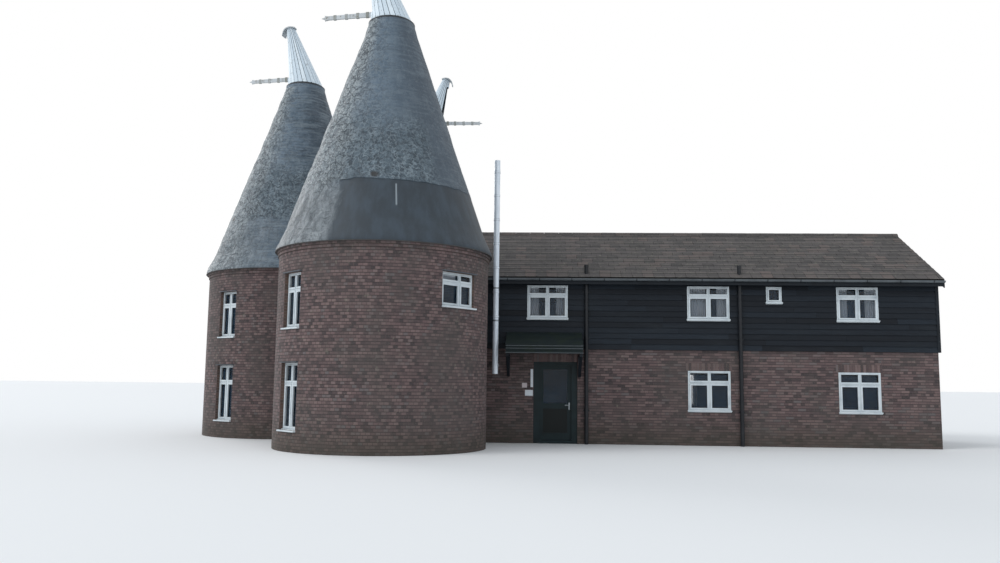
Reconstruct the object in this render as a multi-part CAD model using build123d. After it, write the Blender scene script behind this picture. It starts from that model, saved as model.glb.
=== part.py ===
from build123d import *
import math
import os

# Oast house: a two-storey stowage with three round kilns round its left end.
# Millimetres. X runs along the stowage, Y from the entrance front to the back, Z up.
# The origin is on the ground, on the stowage's centre line, just inside its kiln end.

# Plan of the stowage
STOWAGE_WIDTH = 5400
STOWAGE_RIGHT_X = 15000

# Plan of the kilns. A bite is how far a kiln's circle reaches into the stowage.
KILN_RADIUS = 2670
KILN_WALL = 230
SIDE_KILN_BITE = 400
LEFT_KILN_BITE = 385
BACK_KILN_SHIFT = 240
WINDOW_BAY_ANGLE = 44

# Storey heights
GROUND_FLOOR_TOP = 80
BRICK_STOREY = 2620
BOARDED_STOREY = 1936
FLOOR_DEPTH = 170

# Walls of the stowage
BRICK_WALL = 230
BOARDED_WALL = 150
BOARD_OVERSAIL = 30

# Roof of the stowage
ROOF_PITCH = 30
ROOF_THICKNESS = 180
EAVES_REACH = 250
VERGE_REACH = 90
RIDGE_TILE_RADIUS = 125
RIDGE_TILE_SINK = 55
FASCIA_THICKNESS = 25
FASCIA_DEPTH = 170
BARGE_THICKNESS = 28
BARGE_DEPTH = 210

# Rainwater and soil pipes
GUTTER_RADIUS = 58
GUTTER_WALL = 4
GUTTER_DROP = 20
VENT_PIPE_RADIUS = 55
VENT_PIPE_RISE = 248
VENT_PIPE_CANOPY_GAP = 95
SECOND_PIPE_X = 9600

# Walls and roofs of the kilns
KILN_WALL_TOP = 4880
CORBEL_STEP = 25
CORBEL_COURSE = 75
KILN_EAVES_REACH = 100
KILN_EAVES_LIP = 60
SPROCKET_RISE = 570
SPROCKET_KICK = 30
CONE_RISE = 6220
CONE_TOP_RADIUS = 600
CONE_THICKNESS = 150

# Curb, beams and bearings that carry each cowl
CURB_LIP = 22
CURB_HEIGHT = 90
CURB_ROUND = 30
APRON_DEPTH = 110
APRON_THICKNESS = 12
CROSS_BEAM_WIDTH = 120
CROSS_BEAM_DEPTH = 150
FOOT_BEAM_SIZE = 150
FOOT_BEAM_DROP = 1425
SOCKET_DEPTH = 40

# Cowls
COWL_GAP = 30
COWL_HEIGHT = 2030
COWL_BASE_RADIUS = 560
COWL_TOP_RADIUS = 140
COWL_LEAN = 610
COWL_BOARD = 25
COWL_BOARD_COUNT = 24
COWL_OPEN_BOARDS = 6
COWL_BASE_BAND = 225
COWL_TOP_BAND = 320
CAP_STEPS = 6
CAP_THICKNESS = 35
CAP_OVERHANG = 25
CAP_REACH = 90
CAP_DROOP = 250
POST_RADIUS = 45
PIN_RADIUS = 25
PIN_LENGTH = 40
STAY_SIZE = 60

# Vane arms
VANE_REACH = 2030
VANE_DEPTH = 145
VANE_THICKNESS = 45
VANE_HEAD = 190
VANE_BARB = 95
VANE_TIP = 55
VANE_TAPER = 20

# Windows
FRAME_DEPTH = 70
FRAME_BAR = 90
MULLION_BAR = 120
MULLION_DEPTH = 45
TWO_LIGHT_WIDTH = 600
GLASS_THICKNESS = 8
STOWAGE_FRAME_PROUD = 15
KILN_FRAME_INSET = 60
SILL_HEIGHT = 35
SILL_PROUD = 40
SILL_EAR = 12

# Entrance
DOORWAY_LEFT_X = 3860
DOOR_POST = 160
DOOR_WIDTH = 903
DOOR_HEAD_Z = 2170
DOOR_HEAD_BAR = 90
DOOR_FRAME_DEPTH = 110
DOOR_FRAME_INSET = 30
DOOR_THICKNESS = 44
DOOR_GAP = 7
DOOR_STOP = 18
DOOR_STILE = 110
DOOR_MID_RAIL_Z = 960
DOOR_MID_RAIL = 150
DOOR_BOTTOM_RAIL = 210
DOOR_PANEL = 16
DOOR_GLASS = 8
HINGE_FOOT = 250
HINGE_HEAD = 280
KNUCKLE_RADIUS = 8
KNUCKLE_LENGTH = 40
HINGE_PIN_RADIUS = 4
HINGE_PLATE = 3
HINGE_PLATE_WIDTH = 36

# Entrance canopy
CANOPY_LEFT_REACH = 740
CANOPY_RIGHT_REACH = 97
CANOPY_REACH = 1000
CANOPY_HEADROOM = 200
CANOPY_FALL = 380
CANOPY_BOARD = 45
CANOPY_FASCIA_DEPTH = 220
CANOPY_FASCIA = 30
CANOPY_CHEEK = 30
BRACKET_SIZE = 75
BRACKET_DROP = 620

# Flue
FLUE_X_CLEAR = 656
FLUE_Y_CLEAR = 130
FLUE_RADIUS = 80
FLUE_WALL = 25
FLUE_TEE_DROP = 470
FLUE_FOOT_DROP = 250
FLUE_TOP_RISE = 1560
FLUE_BAND_RADIUS = 87
FLUE_BAND_HEIGHT = 45
FLUE_BAND_STEP = 680
FLUE_LOW_STRAP_RISE = 730
FLUE_HIGH_STRAP_DROP = 306
FLUE_STRAP_HEIGHT = 40

# Clearances
SEAT_GAP = 0.3
TRIM_GAP = 0.5
BEARING_GAP = 0.05

# Values that follow from those above
HALF_WIDTH = STOWAGE_WIDTH / 2
KILN_REACH = KILN_RADIUS - SIDE_KILN_BITE
SIDE_KILN_Y = HALF_WIDTH + KILN_REACH
STOWAGE_LEFT_X = -math.sqrt(KILN_RADIUS**2 - KILN_REACH**2)
LEFT_KILN_X = STOWAGE_LEFT_X - KILN_RADIUS + LEFT_KILN_BITE
KILN_BORE = KILN_RADIUS - KILN_WALL
KILN_EAVES_RADIUS = KILN_RADIUS + KILN_EAVES_REACH
SPROCKET_Z = KILN_WALL_TOP + SPROCKET_RISE
CONE_TOP_Z = KILN_WALL_TOP + CONE_RISE
FLOOR_UNDERSIDE = BRICK_STOREY - FLOOR_DEPTH
BOARD_FACE = HALF_WIDTH + BOARD_OVERSAIL
BOARD_INNER = BOARD_FACE - BOARDED_WALL
BRICK_INNER = HALF_WIDTH - BRICK_WALL
RIGHT_BOARD_X = STOWAGE_RIGHT_X + BOARD_OVERSAIL
ROOF_SLOPE = math.tan(math.radians(ROOF_PITCH))
ROOF_VERTICAL = ROOF_THICKNESS / math.cos(math.radians(ROOF_PITCH))
RIDGE_Z = BRICK_STOREY + BOARDED_STOREY + ROOF_VERTICAL + ROOF_SLOPE * BOARD_FACE
EAVES_Y = HALF_WIDTH + EAVES_REACH
VERGE_LEFT_X = STOWAGE_LEFT_X - VERGE_REACH
VERGE_RIGHT_X = RIGHT_BOARD_X + VERGE_REACH
CURB_RADIUS = CONE_TOP_RADIUS + CURB_LIP
CURB_TOP_Z = CONE_TOP_Z + CURB_HEIGHT
FOOT_BEAM_TOP_Z = CONE_TOP_Z - FOOT_BEAM_DROP
COWL_FOOT_Z = CURB_TOP_Z + COWL_GAP
COWL_TOP_Z = COWL_FOOT_Z + COWL_HEIGHT
BAND_TOP_Z = COWL_FOOT_Z + COWL_BASE_BAND
DOOR_LEFT_X = DOORWAY_LEFT_X + DOOR_POST
DOOR_RIGHT_X = DOOR_LEFT_X + DOOR_WIDTH
DOORWAY_RIGHT_X = DOOR_RIGHT_X + DOOR_POST
DOORWAY_TOP_Z = DOOR_HEAD_Z + DOOR_HEAD_BAR
FRAME_FRONT_Y = -(HALF_WIDTH - DOOR_FRAME_INSET)
FRAME_BACK_Y = FRAME_FRONT_Y + DOOR_FRAME_DEPTH
HINGE_X = DOOR_LEFT_X + DOOR_GAP / 2
HINGE_Y = FRAME_BACK_Y + KNUCKLE_RADIUS
LOW_HINGE_Z = GROUND_FLOOR_TOP + HINGE_FOOT
HIGH_HINGE_Z = DOOR_HEAD_Z - HINGE_HEAD
HINGE_ZS = [LOW_HINGE_Z, (LOW_HINGE_Z + HIGH_HINGE_Z) / 2, HIGH_HINGE_Z]
CANOPY_LEFT_X = DOORWAY_LEFT_X - CANOPY_LEFT_REACH
CANOPY_RIGHT_X = DOORWAY_RIGHT_X + CANOPY_RIGHT_REACH
CANOPY_FOOT_Z = DOORWAY_TOP_Z + CANOPY_HEADROOM
CANOPY_FRONT_Z = CANOPY_FOOT_Z + CANOPY_FASCIA_DEPTH
CANOPY_WALL_Z = CANOPY_FRONT_Z + CANOPY_FALL
VENT_PIPE_XS = [CANOPY_RIGHT_X + VENT_PIPE_CANOPY_GAP + VENT_PIPE_RADIUS, SECOND_PIPE_X]
VENT_PIPE_Y = -(BOARD_FACE + VENT_PIPE_RADIUS + SEAT_GAP)
VENT_PIPE_TOP_Z = RIDGE_Z + ROOF_SLOPE * VENT_PIPE_Y + VENT_PIPE_RISE
FLUE_Y = -(EAVES_Y + FASCIA_THICKNESS + 2 * GUTTER_RADIUS + FLUE_Y_CLEAR)
FLUE_X = math.sqrt(KILN_EAVES_RADIUS**2 - (SIDE_KILN_Y + FLUE_Y) ** 2) + FLUE_X_CLEAR
FLUE_TEE_Z = BRICK_STOREY - FLUE_TEE_DROP
FLUE_FOOT_Z = FLUE_TEE_Z - FLUE_FOOT_DROP
FLUE_TOP_Z = RIDGE_Z + FLUE_TOP_RISE
FLUE_STRAP_ZS = [BRICK_STOREY + FLUE_LOW_STRAP_RISE, BRICK_STOREY + BOARDED_STOREY - FLUE_HIGH_STRAP_DROP]

# Sills and heads of the windows: the upper rows are measured from the upper floor
KILN_LOWER = (500, 2070)
KILN_UPPER = (BRICK_STOREY + 280, BRICK_STOREY + 1600)
KILN_HIGH = (BRICK_STOREY + 820, BRICK_STOREY + 1640)
STOWAGE_LOWER = (950, 2050)
STOWAGE_UPPER = (BRICK_STOREY + 850, BRICK_STOREY + 1790)
STOWAGE_SMALL = (BRICK_STOREY + 1340, BRICK_STOREY + 1790)

# Kilns: name, centre, the way the cowl's open side faces in degrees, and windows.
# A window is its direction from the kiln's centre, width, sill height and head height.
KILNS = {
    "front": {
        "centre": (0, -SIDE_KILN_Y),
        "cowl_angle": 170,
        "windows": [(-37.6, 1100, *KILN_HIGH), (-135, 750, *KILN_UPPER), (-135, 750, *KILN_LOWER)],
    },
    "left": {
        "centre": (LEFT_KILN_X, 0),
        "cowl_angle": 170,
        "windows": [(-122, 700, *KILN_UPPER), (-122, 700, *KILN_LOWER), (135, 750, *KILN_UPPER)],
    },
    "back": {
        "centre": (-BACK_KILN_SHIFT, SIDE_KILN_Y),
        "cowl_angle": 0,
        "windows": [(37.6, 1100, *KILN_HIGH), (135, 750, *KILN_UPPER), (135, 750, *KILN_LOWER)],
    },
}

# Stowage windows: left edge, width, sill height and head height
UPPER_WINDOWS = [
    (3670, 1140, *STOWAGE_UPPER),
    (8150, 1170, *STOWAGE_UPPER),
    (10340, 430, *STOWAGE_SMALL),
    (12270, 1140, *STOWAGE_UPPER),
]
LOWER_WINDOWS = [(8150, 1170, *STOWAGE_LOWER), (12270, 1140, *STOWAGE_LOWER)]


def block(x0, x1, y0, y1, z0, z1):
    """Box between two corners."""
    return Pos((x0 + x1) / 2, (y0 + y1) / 2, (z0 + z1) / 2) * Box(x1 - x0, y1 - y0, z1 - z0)


def drum(radius, z0, z1, x=0, y=0):
    """Upright cylinder between two heights."""
    return Pos(x, y, (z0 + z1) / 2) * Cylinder(radius, z1 - z0)


def along_x(points, x0, x1):
    """Outline in Y and Z, drawn out along X."""
    face = make_face(Plane.YZ.offset(x0) * Polyline(*points, close=True))
    return extrude(face, x1 - x0, dir=(1, 0, 0))


def turned(points):
    """Outline in radius and height, turned right round Z."""
    face = make_face(Plane.XZ * Polyline(*points, close=True))
    return revolve(face, Axis.Z, 360)


def at_kiln(kiln, angle=0):
    """Place on a kiln's axis, turned to face an angle."""
    x, y = kiln["centre"]
    return Pos(x, y, 0) * Rot(0, 0, angle)


def roof_under(y):
    """Height of the stowage roof's underside at a distance from the ridge."""
    return RIDGE_Z - ROOF_VERTICAL - ROOF_SLOPE * abs(y)


# Kiln walls and floors


def outside_stowage(name):
    """Space on a kiln's side of the stowage wall that it is built against."""
    far = 8 * KILN_RADIUS
    low = -KILN_RADIUS
    high = 6 * KILN_RADIUS
    if name == "front":
        return block(-far, far, -far, -HALF_WIDTH, low, high)
    if name == "back":
        return block(-far, far, HALF_WIDTH, far, low, high)
    return block(-far, STOWAGE_LEFT_X, -far, far, low, high)


def wall_outline(gap=0):
    """Outer face of a kiln wall from the ground to the top of its two corbel courses."""
    first = KILN_WALL_TOP - 2 * CORBEL_COURSE - gap
    second = KILN_WALL_TOP - CORBEL_COURSE - gap
    return [
        (KILN_RADIUS + gap, 0),
        (KILN_RADIUS + gap, first),
        (KILN_RADIUS + CORBEL_STEP + gap, first),
        (KILN_RADIUS + CORBEL_STEP + gap, second),
        (KILN_RADIUS + 2 * CORBEL_STEP + gap, second),
        (KILN_RADIUS + 2 * CORBEL_STEP + gap, KILN_WALL_TOP),
    ]


def kiln_sector(start, end):
    """Wedge of space between two angles, at most a half turn apart."""
    middle = (start + end) / 2
    reach = 3 * KILN_RADIUS
    angles = [start, (start + middle) / 2, middle, (middle + end) / 2, end]
    rim = [(reach * math.cos(math.radians(a)), reach * math.sin(math.radians(a))) for a in angles]
    face = make_face(Polyline((0, 0), *rim, close=True))
    return extrude(face, KILN_WALL_TOP + CORBEL_STEP)


def window_directions(kiln):
    """Directions of a kiln's window bays, in order round the wall."""
    return sorted({window[0] for window in kiln["windows"]})


def kiln_walls(name, kiln):
    """Round wall as window bays and the plain lengths between them."""
    ring = turned(wall_outline() + [(KILN_BORE, KILN_WALL_TOP), (KILN_BORE, 0)])
    ring = at_kiln(kiln) * ring & outside_stowage(name)
    for angle, width, sill, head in kiln["windows"]:
        hole = block(KILN_BORE - KILN_WALL, KILN_RADIUS + KILN_WALL, -width / 2, width / 2, sill, head)
        ring -= at_kiln(kiln, angle) * hole
    bays = Part()
    plain = Part()
    half = WINDOW_BAY_ANGLE / 2
    directions = window_directions(kiln)
    for here, following in zip(directions, directions[1:] + [directions[0] + 360]):
        bays += ring & at_kiln(kiln) * kiln_sector(here - half, here + half)
        start = here + half
        end = following - half
        middle = (start + end) / 2
        plain += ring & at_kiln(kiln) * (kiln_sector(start, middle) + kiln_sector(middle, end))
    return bays, plain


def kiln_floor(name, kiln, z0, z1):
    """Round floor inside a kiln's wall, stopped by the stowage wall."""
    x, y = kiln["centre"]
    return drum(KILN_BORE - TRIM_GAP, z0, z1, x, y) & outside_stowage(name)


# Kiln roofs


def cone_radius(z):
    """Radius of the main slope of a kiln roof at a height."""
    spread = KILN_EAVES_RADIUS - CONE_TOP_RADIUS
    return CONE_TOP_RADIUS + spread * (CONE_TOP_Z - z) / (CONE_TOP_Z - KILN_WALL_TOP)


def cone_wall():
    """Thickness of a kiln roof measured level."""
    spread = KILN_EAVES_RADIUS - CONE_TOP_RADIUS
    return CONE_THICKNESS * math.hypot(1, spread / (CONE_TOP_Z - KILN_WALL_TOP))


def cone_outline(gap=0):
    """Outer face of a kiln roof, with the tiles kicked out a little at the eaves."""
    kick = cone_radius(SPROCKET_Z) - SPROCKET_KICK
    return [
        (KILN_EAVES_RADIUS + gap, KILN_WALL_TOP),
        (KILN_EAVES_RADIUS + gap, KILN_WALL_TOP + KILN_EAVES_LIP),
        (kick + gap, SPROCKET_Z),
        (CONE_TOP_RADIUS + gap, CONE_TOP_Z),
    ]


def kiln_roof(kiln):
    """Conical roof, hollow, standing on the wall's top course."""
    inner = [
        (CONE_TOP_RADIUS - cone_wall(), CONE_TOP_Z),
        (cone_radius(SPROCKET_Z) - SPROCKET_KICK - cone_wall(), SPROCKET_Z),
        (KILN_EAVES_RADIUS - SPROCKET_KICK - cone_wall(), KILN_WALL_TOP),
    ]
    return at_kiln(kiln) * turned(cone_outline() + inner)


def roof_mass(kiln):
    """Kiln roof as one solid with a hair's gap."""
    foot = [(KILN_EAVES_RADIUS + TRIM_GAP, KILN_WALL_TOP - TRIM_GAP)]
    outline = foot + cone_outline(TRIM_GAP)[1:]
    return at_kiln(kiln) * turned(outline + [(0, CONE_TOP_Z), (0, KILN_WALL_TOP - TRIM_GAP)])


def kiln_mass(kiln):
    """Whole kiln as one solid with a hair's gap, which the stowage is trimmed against."""
    wall = [(0, 0)] + wall_outline(TRIM_GAP) + [(0, KILN_WALL_TOP)]
    return at_kiln(kiln) * turned(wall) + roof_mass(kiln)


def clear_of_kilns(piece):
    """Stowage piece cut back to the kilns' faces."""
    for kiln in KILNS.values():
        piece -= kiln_mass(kiln)
    return piece


# Cowls and what carries them


def curb_bore():
    """Inner radius of the curb, just inside the roof's own."""
    return CONE_TOP_RADIUS - cone_wall() - TRIM_GAP


def curb_ring():
    """Round-edged ring on the roof's top, with an apron dressed down over the tiles."""
    apron_z = CONE_TOP_Z - APRON_DEPTH
    eaves_side = cone_radius(SPROCKET_Z) - SPROCKET_KICK - CONE_TOP_RADIUS
    apron_radius = CONE_TOP_RADIUS + eaves_side * APRON_DEPTH / (CONE_TOP_Z - SPROCKET_Z) + TRIM_GAP
    ring = drum(CURB_RADIUS, CONE_TOP_Z, CURB_TOP_Z) - drum(curb_bore(), CONE_TOP_Z, CURB_TOP_Z)
    ring = fillet(ring.edges().group_by(Axis.Z)[-1].sort_by(SortBy.LENGTH)[-1], CURB_ROUND)
    apron = [
        (CONE_TOP_RADIUS + TRIM_GAP, CONE_TOP_Z),
        (apron_radius, apron_z),
        (apron_radius + APRON_THICKNESS, apron_z),
        (CURB_RADIUS - TRIM_GAP, CONE_TOP_Z),
    ]
    return ring + turned(apron)


def curb(kiln):
    """Ring with the beam across it that holds the post upright."""
    bore = curb_bore()
    half = CROSS_BEAM_WIDTH / 2
    under = CURB_TOP_Z - CROSS_BEAM_DEPTH
    beam = block(-bore, bore, -half, half, under, CURB_TOP_Z) & drum(bore, under, CURB_TOP_Z)
    hole = drum(POST_RADIUS + BEARING_GAP, under - COWL_GAP, CURB_TOP_Z + COWL_GAP)
    return at_kiln(kiln, kiln["cowl_angle"]) * (curb_ring() + beam - hole)


def foot_beam(kiln):
    """Beam across the inside of the roof, with the socket that the post's pin stands in."""
    half = FOOT_BEAM_SIZE / 2
    under = FOOT_BEAM_TOP_Z - FOOT_BEAM_SIZE
    reach = cone_radius(under)
    beam = block(-reach, reach, -half, half, under, FOOT_BEAM_TOP_Z)
    inside = [
        (0, SPROCKET_Z),
        (cone_radius(SPROCKET_Z) - SPROCKET_KICK - cone_wall() - TRIM_GAP, SPROCKET_Z),
        (CONE_TOP_RADIUS - cone_wall() - TRIM_GAP, CONE_TOP_Z),
        (0, CONE_TOP_Z),
    ]
    socket = drum(PIN_RADIUS + BEARING_GAP, FOOT_BEAM_TOP_Z - SOCKET_DEPTH, FOOT_BEAM_TOP_Z)
    return at_kiln(kiln, kiln["cowl_angle"]) * ((beam & turned(inside)) - socket)


def cowl_points(z, inset, first=0, last=COWL_BOARD_COUNT):
    """Corners of the cowl's boards at a height, from one board's edge to another's."""
    share = (z - COWL_FOOT_Z) / COWL_HEIGHT
    radius = COWL_BASE_RADIUS + (COWL_TOP_RADIUS - COWL_BASE_RADIUS) * share - inset
    points = []
    for index in range(first, last + 1):
        angle = 2 * math.pi * index / COWL_BOARD_COUNT
        points.append((COWL_LEAN * share + radius * math.cos(angle), radius * math.sin(angle), z))
    return points


def between_outlines(low, high):
    """Solid between two level outlines with as many corners."""
    return loft([make_face(Polyline(*low, close=True)), make_face(Polyline(*high, close=True))], ruled=True)


def cowl_band(z0, z1):
    """Closed band of boards between two heights."""
    last = COWL_BOARD_COUNT - 1
    outer = between_outlines(cowl_points(z0, 0, 0, last), cowl_points(z1, 0, 0, last))
    inner = between_outlines(cowl_points(z0, COWL_BOARD, 0, last), cowl_points(z1, COWL_BOARD, 0, last))
    return outer - inner


def cap_arc(lift):
    """Arc of the cap from its back edge over the cowl's top and down before the open side."""
    start = COWL_LEAN - COWL_TOP_RADIUS - CAP_OVERHANG
    reach = COWL_TOP_RADIUS + CAP_REACH + lift
    drop = CAP_DROOP + lift
    points = [(start, COWL_TOP_Z + lift)]
    for index in range(CAP_STEPS + 1):
        angle = math.pi / 2 * index / CAP_STEPS
        x = COWL_LEAN + reach * math.sin(angle)
        points.append((x, COWL_TOP_Z + lift - drop * (1 - math.cos(angle))))
    return points


def cowl_shell(kiln):
    """Leaning cone of upright boards, open down the side that the arm points from."""
    first = COWL_OPEN_BOARDS // 2
    last = COWL_BOARD_COUNT - first
    outlines = []
    for z in (COWL_FOOT_Z, COWL_TOP_Z):
        outer = cowl_points(z, 0, first, last)
        inner = cowl_points(z, COWL_BOARD, first, last)
        outlines.append(outer + inner[::-1])
    shell = between_outlines(*outlines)
    shell += cowl_band(COWL_FOOT_Z, BAND_TOP_Z)
    shell += cowl_band(COWL_TOP_Z - COWL_TOP_BAND, COWL_TOP_Z)
    under = cap_arc(0)
    far = under[-1][0]
    above = under + [(far, COWL_TOP_Z + CAP_DROOP), (under[0][0], COWL_TOP_Z + CAP_DROOP)]
    above_face = make_face(Plane.XZ * Polyline(*above, close=True))
    shell -= extrude(above_face, 2 * COWL_TOP_RADIUS, both=True)
    return at_kiln(kiln, kiln["cowl_angle"]) * shell


def cowl_cap(kiln):
    """Arched sheet over the cowl's top, which hangs down before the open side."""
    side = cap_arc(0) + cap_arc(CAP_THICKNESS)[::-1]
    face = make_face(Plane.XZ * Polyline(*side, close=True))
    half = COWL_TOP_RADIUS + CAP_OVERHANG
    hood = extrude(face, half, both=True)
    back = COWL_LEAN - half
    tip = COWL_LEAN + COWL_TOP_RADIUS + CAP_REACH + 2 * CAP_THICKNESS
    middle = (back + tip) / 2
    plan = Pos(middle, 0, COWL_TOP_Z - 2 * CAP_DROOP) * Ellipse(tip - middle + CAP_OVERHANG, half + CAP_OVERHANG / 2)
    hood &= extrude(plan, 4 * CAP_DROOP)
    return at_kiln(kiln, kiln["cowl_angle"]) * hood


def cowl_post(kiln):
    """Post that the cowl turns on, with its pin, and the stay that carries the cowl's foot."""
    last = COWL_BOARD_COUNT - 1
    inset = COWL_BOARD + TRIM_GAP
    hollow = between_outlines(
        cowl_points(COWL_FOOT_Z, inset, 0, last), cowl_points(COWL_TOP_Z, inset, 0, last)
    )
    upper = drum(POST_RADIUS, COWL_FOOT_Z, COWL_TOP_Z)
    half = STAY_SIZE / 2
    stay_z = COWL_FOOT_Z + STAY_SIZE / 2
    stay = block(-COWL_BASE_RADIUS, COWL_BASE_RADIUS, -half, half, stay_z, stay_z + STAY_SIZE)
    inside = (upper + stay) & hollow
    lower = drum(POST_RADIUS, FOOT_BEAM_TOP_Z + PIN_LENGTH / 2, COWL_FOOT_Z)
    pin_foot = FOOT_BEAM_TOP_Z - SOCKET_DEPTH + SEAT_GAP
    pin = drum(PIN_RADIUS, pin_foot, FOOT_BEAM_TOP_Z + PIN_LENGTH / 2)
    return at_kiln(kiln, kiln["cowl_angle"]) * (inside + lower + pin)


def vane_arm(kiln):
    """Arm that swings the cowl's back to the wind, with a three-pointed end."""
    low = BAND_TOP_Z
    high = BAND_TOP_Z + VANE_DEPTH
    middle = (low + high) / 2
    side = [
        (0, low),
        (VANE_REACH - VANE_HEAD, low + VANE_TAPER),
        (VANE_REACH - VANE_BARB, low),
        (VANE_REACH - VANE_BARB, middle - VANE_TIP / 2),
        (VANE_REACH, middle),
        (VANE_REACH - VANE_BARB, middle + VANE_TIP / 2),
        (VANE_REACH - VANE_BARB, high),
        (VANE_REACH - VANE_HEAD, high - VANE_TAPER),
        (0, high),
    ]
    face = make_face(Plane.XZ * Polyline(*side, close=True))
    arm = extrude(face, VANE_THICKNESS / 2, both=True)
    arm -= drum(POST_RADIUS + SEAT_GAP, low - SEAT_GAP, high + SEAT_GAP)
    arm &= block(0, 2 * VANE_REACH, -VANE_THICKNESS, VANE_THICKNESS, low, high)
    return at_kiln(kiln, kiln["cowl_angle"]) * arm


# Windows


def window_frame(width, sill, head):
    """Frame with one mullion, front face on X = 0 and its depth towards -X."""
    half = width / 2
    frame = block(-FRAME_DEPTH, 0, -half, half, sill, head)
    frame -= block(-FRAME_DEPTH, 0, FRAME_BAR - half, half - FRAME_BAR, sill + FRAME_BAR, head - FRAME_BAR)
    if width > TWO_LIGHT_WIDTH:
        bar = MULLION_BAR / 2
        frame += block(-MULLION_DEPTH, 0, -bar, bar, sill + FRAME_BAR, head - FRAME_BAR)
    return frame


def window_pane(width, sill, head):
    """Sheet of glass behind the mullion, filling the frame."""
    half = width / 2 - FRAME_BAR
    back = -MULLION_DEPTH - GLASS_THICKNESS
    return block(back, -MULLION_DEPTH, -half, half, sill + FRAME_BAR, head - FRAME_BAR)


def window_sill(width, sill, face, reach):
    """Sill that stands out of the wall, just under the frame."""
    half = width / 2 + SILL_EAR
    return block(face, reach, -half, half, sill - SILL_HEIGHT, sill)


def window_places():
    """Every window: where its front face is, its width, sill and head, and the wall's face."""
    places = []
    widest = max(window[1] for kiln in KILNS.values() for window in kiln["windows"])
    inset = math.sqrt(KILN_RADIUS**2 - (widest / 2) ** 2) - KILN_FRAME_INSET
    for kiln in KILNS.values():
        for angle, width, sill, head in kiln["windows"]:
            places.append((at_kiln(kiln, angle), inset, width, sill, head, kiln))
    for x, width, sill, head in UPPER_WINDOWS + LOWER_WINDOWS:
        face = BOARD_FACE if sill > BRICK_STOREY else HALF_WIDTH
        front = Pos(x + width / 2, 0, 0) * Rot(0, 0, -90)
        back = Pos(x + width / 2, 0, 0) * Rot(0, 0, 90)
        places.append((front, face + STOWAGE_FRAME_PROUD, width, sill, head, None))
        places.append((back, face + STOWAGE_FRAME_PROUD, width, sill, head, None))
    return places


def windows():
    """Frames, glass and sills of all the windows."""
    frames = Part()
    glass = Part()
    sills = Part()
    for place, front, width, sill, head, kiln in window_places():
        frames += place * Pos(front, 0, 0) * window_frame(width, sill, head)
        glass += place * Pos(front, 0, 0) * window_pane(width, sill, head)
        if kiln:
            bed = place * window_sill(width, sill, KILN_BORE, KILN_RADIUS + SILL_PROUD)
            sills += bed - at_kiln(kiln) * drum(KILN_RADIUS + TRIM_GAP, 0, KILN_WALL_TOP)
        else:
            face = front - STOWAGE_FRAME_PROUD
            sills += place * window_sill(width, sill, face, face + SILL_PROUD)
    return frames, glass, sills


# Walls of the stowage


def window_holes(openings, y_sign):
    """Holes through a long wall for a list of windows."""
    holes = Part()
    for x, width, sill, head in openings:
        inner = BRICK_INNER - BRICK_WALL
        outer = BOARD_FACE + BOARDED_WALL
        low, high = sorted((y_sign * inner, y_sign * outer))
        holes += block(x, x + width, low, high, sill, head)
    return holes


def brick_long_walls():
    """Ground storey: front wall in three pieces round the doorway, and back wall."""
    left = block(STOWAGE_LEFT_X, DOORWAY_LEFT_X, -HALF_WIDTH, -BRICK_INNER, 0, BRICK_STOREY)
    over = block(DOORWAY_LEFT_X, DOORWAY_RIGHT_X, -HALF_WIDTH, -BRICK_INNER, DOORWAY_TOP_Z, BRICK_STOREY)
    right = block(DOORWAY_RIGHT_X, STOWAGE_RIGHT_X, -HALF_WIDTH, -BRICK_INNER, 0, BRICK_STOREY)
    right -= window_holes(LOWER_WINDOWS, -1)
    back = block(STOWAGE_LEFT_X, STOWAGE_RIGHT_X, BRICK_INNER, HALF_WIDTH, 0, BRICK_STOREY)
    back -= window_holes(LOWER_WINDOWS, 1)
    return left, over, right, back


def boarded_long_wall(y_sign):
    """Upper storey wall, its top cut to the slope of the roof."""
    outline = [
        (y_sign * BOARD_FACE, BRICK_STOREY),
        (y_sign * BOARD_FACE, roof_under(BOARD_FACE)),
        (y_sign * BOARD_INNER, roof_under(BOARD_INNER)),
        (y_sign * BOARD_INNER, BRICK_STOREY),
    ]
    wall = along_x(outline, STOWAGE_LEFT_X, RIGHT_BOARD_X)
    wall -= window_holes(UPPER_WINDOWS, y_sign)
    for name, kiln in KILNS.items():
        wall -= kiln_mass(kiln) & outside_stowage(name)
    return wall


def gable_outline(foot_z):
    """Gable from a height up to the roof, between the long upper walls."""
    return [
        (-BOARD_INNER, foot_z),
        (BOARD_INNER, foot_z),
        (BOARD_INNER, roof_under(BOARD_INNER)),
        (0, roof_under(0)),
        (-BOARD_INNER, roof_under(BOARD_INNER)),
    ]


def end_walls():
    """Brick kiln end to the roof, brick right end, and the boarded gable over it."""
    left = block(STOWAGE_LEFT_X, STOWAGE_LEFT_X + BRICK_WALL, -BRICK_INNER, BRICK_INNER, 0, BRICK_STOREY)
    left += along_x(gable_outline(BRICK_STOREY), STOWAGE_LEFT_X, STOWAGE_LEFT_X + BRICK_WALL)
    for kiln in KILNS.values():
        left -= roof_mass(kiln)
    right = block(STOWAGE_RIGHT_X - BRICK_WALL, STOWAGE_RIGHT_X, -BRICK_INNER, BRICK_INNER, 0, BRICK_STOREY)
    gable = along_x(gable_outline(BRICK_STOREY), RIGHT_BOARD_X - BOARDED_WALL, RIGHT_BOARD_X)
    return left, right, gable


# Roof of the stowage


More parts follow.
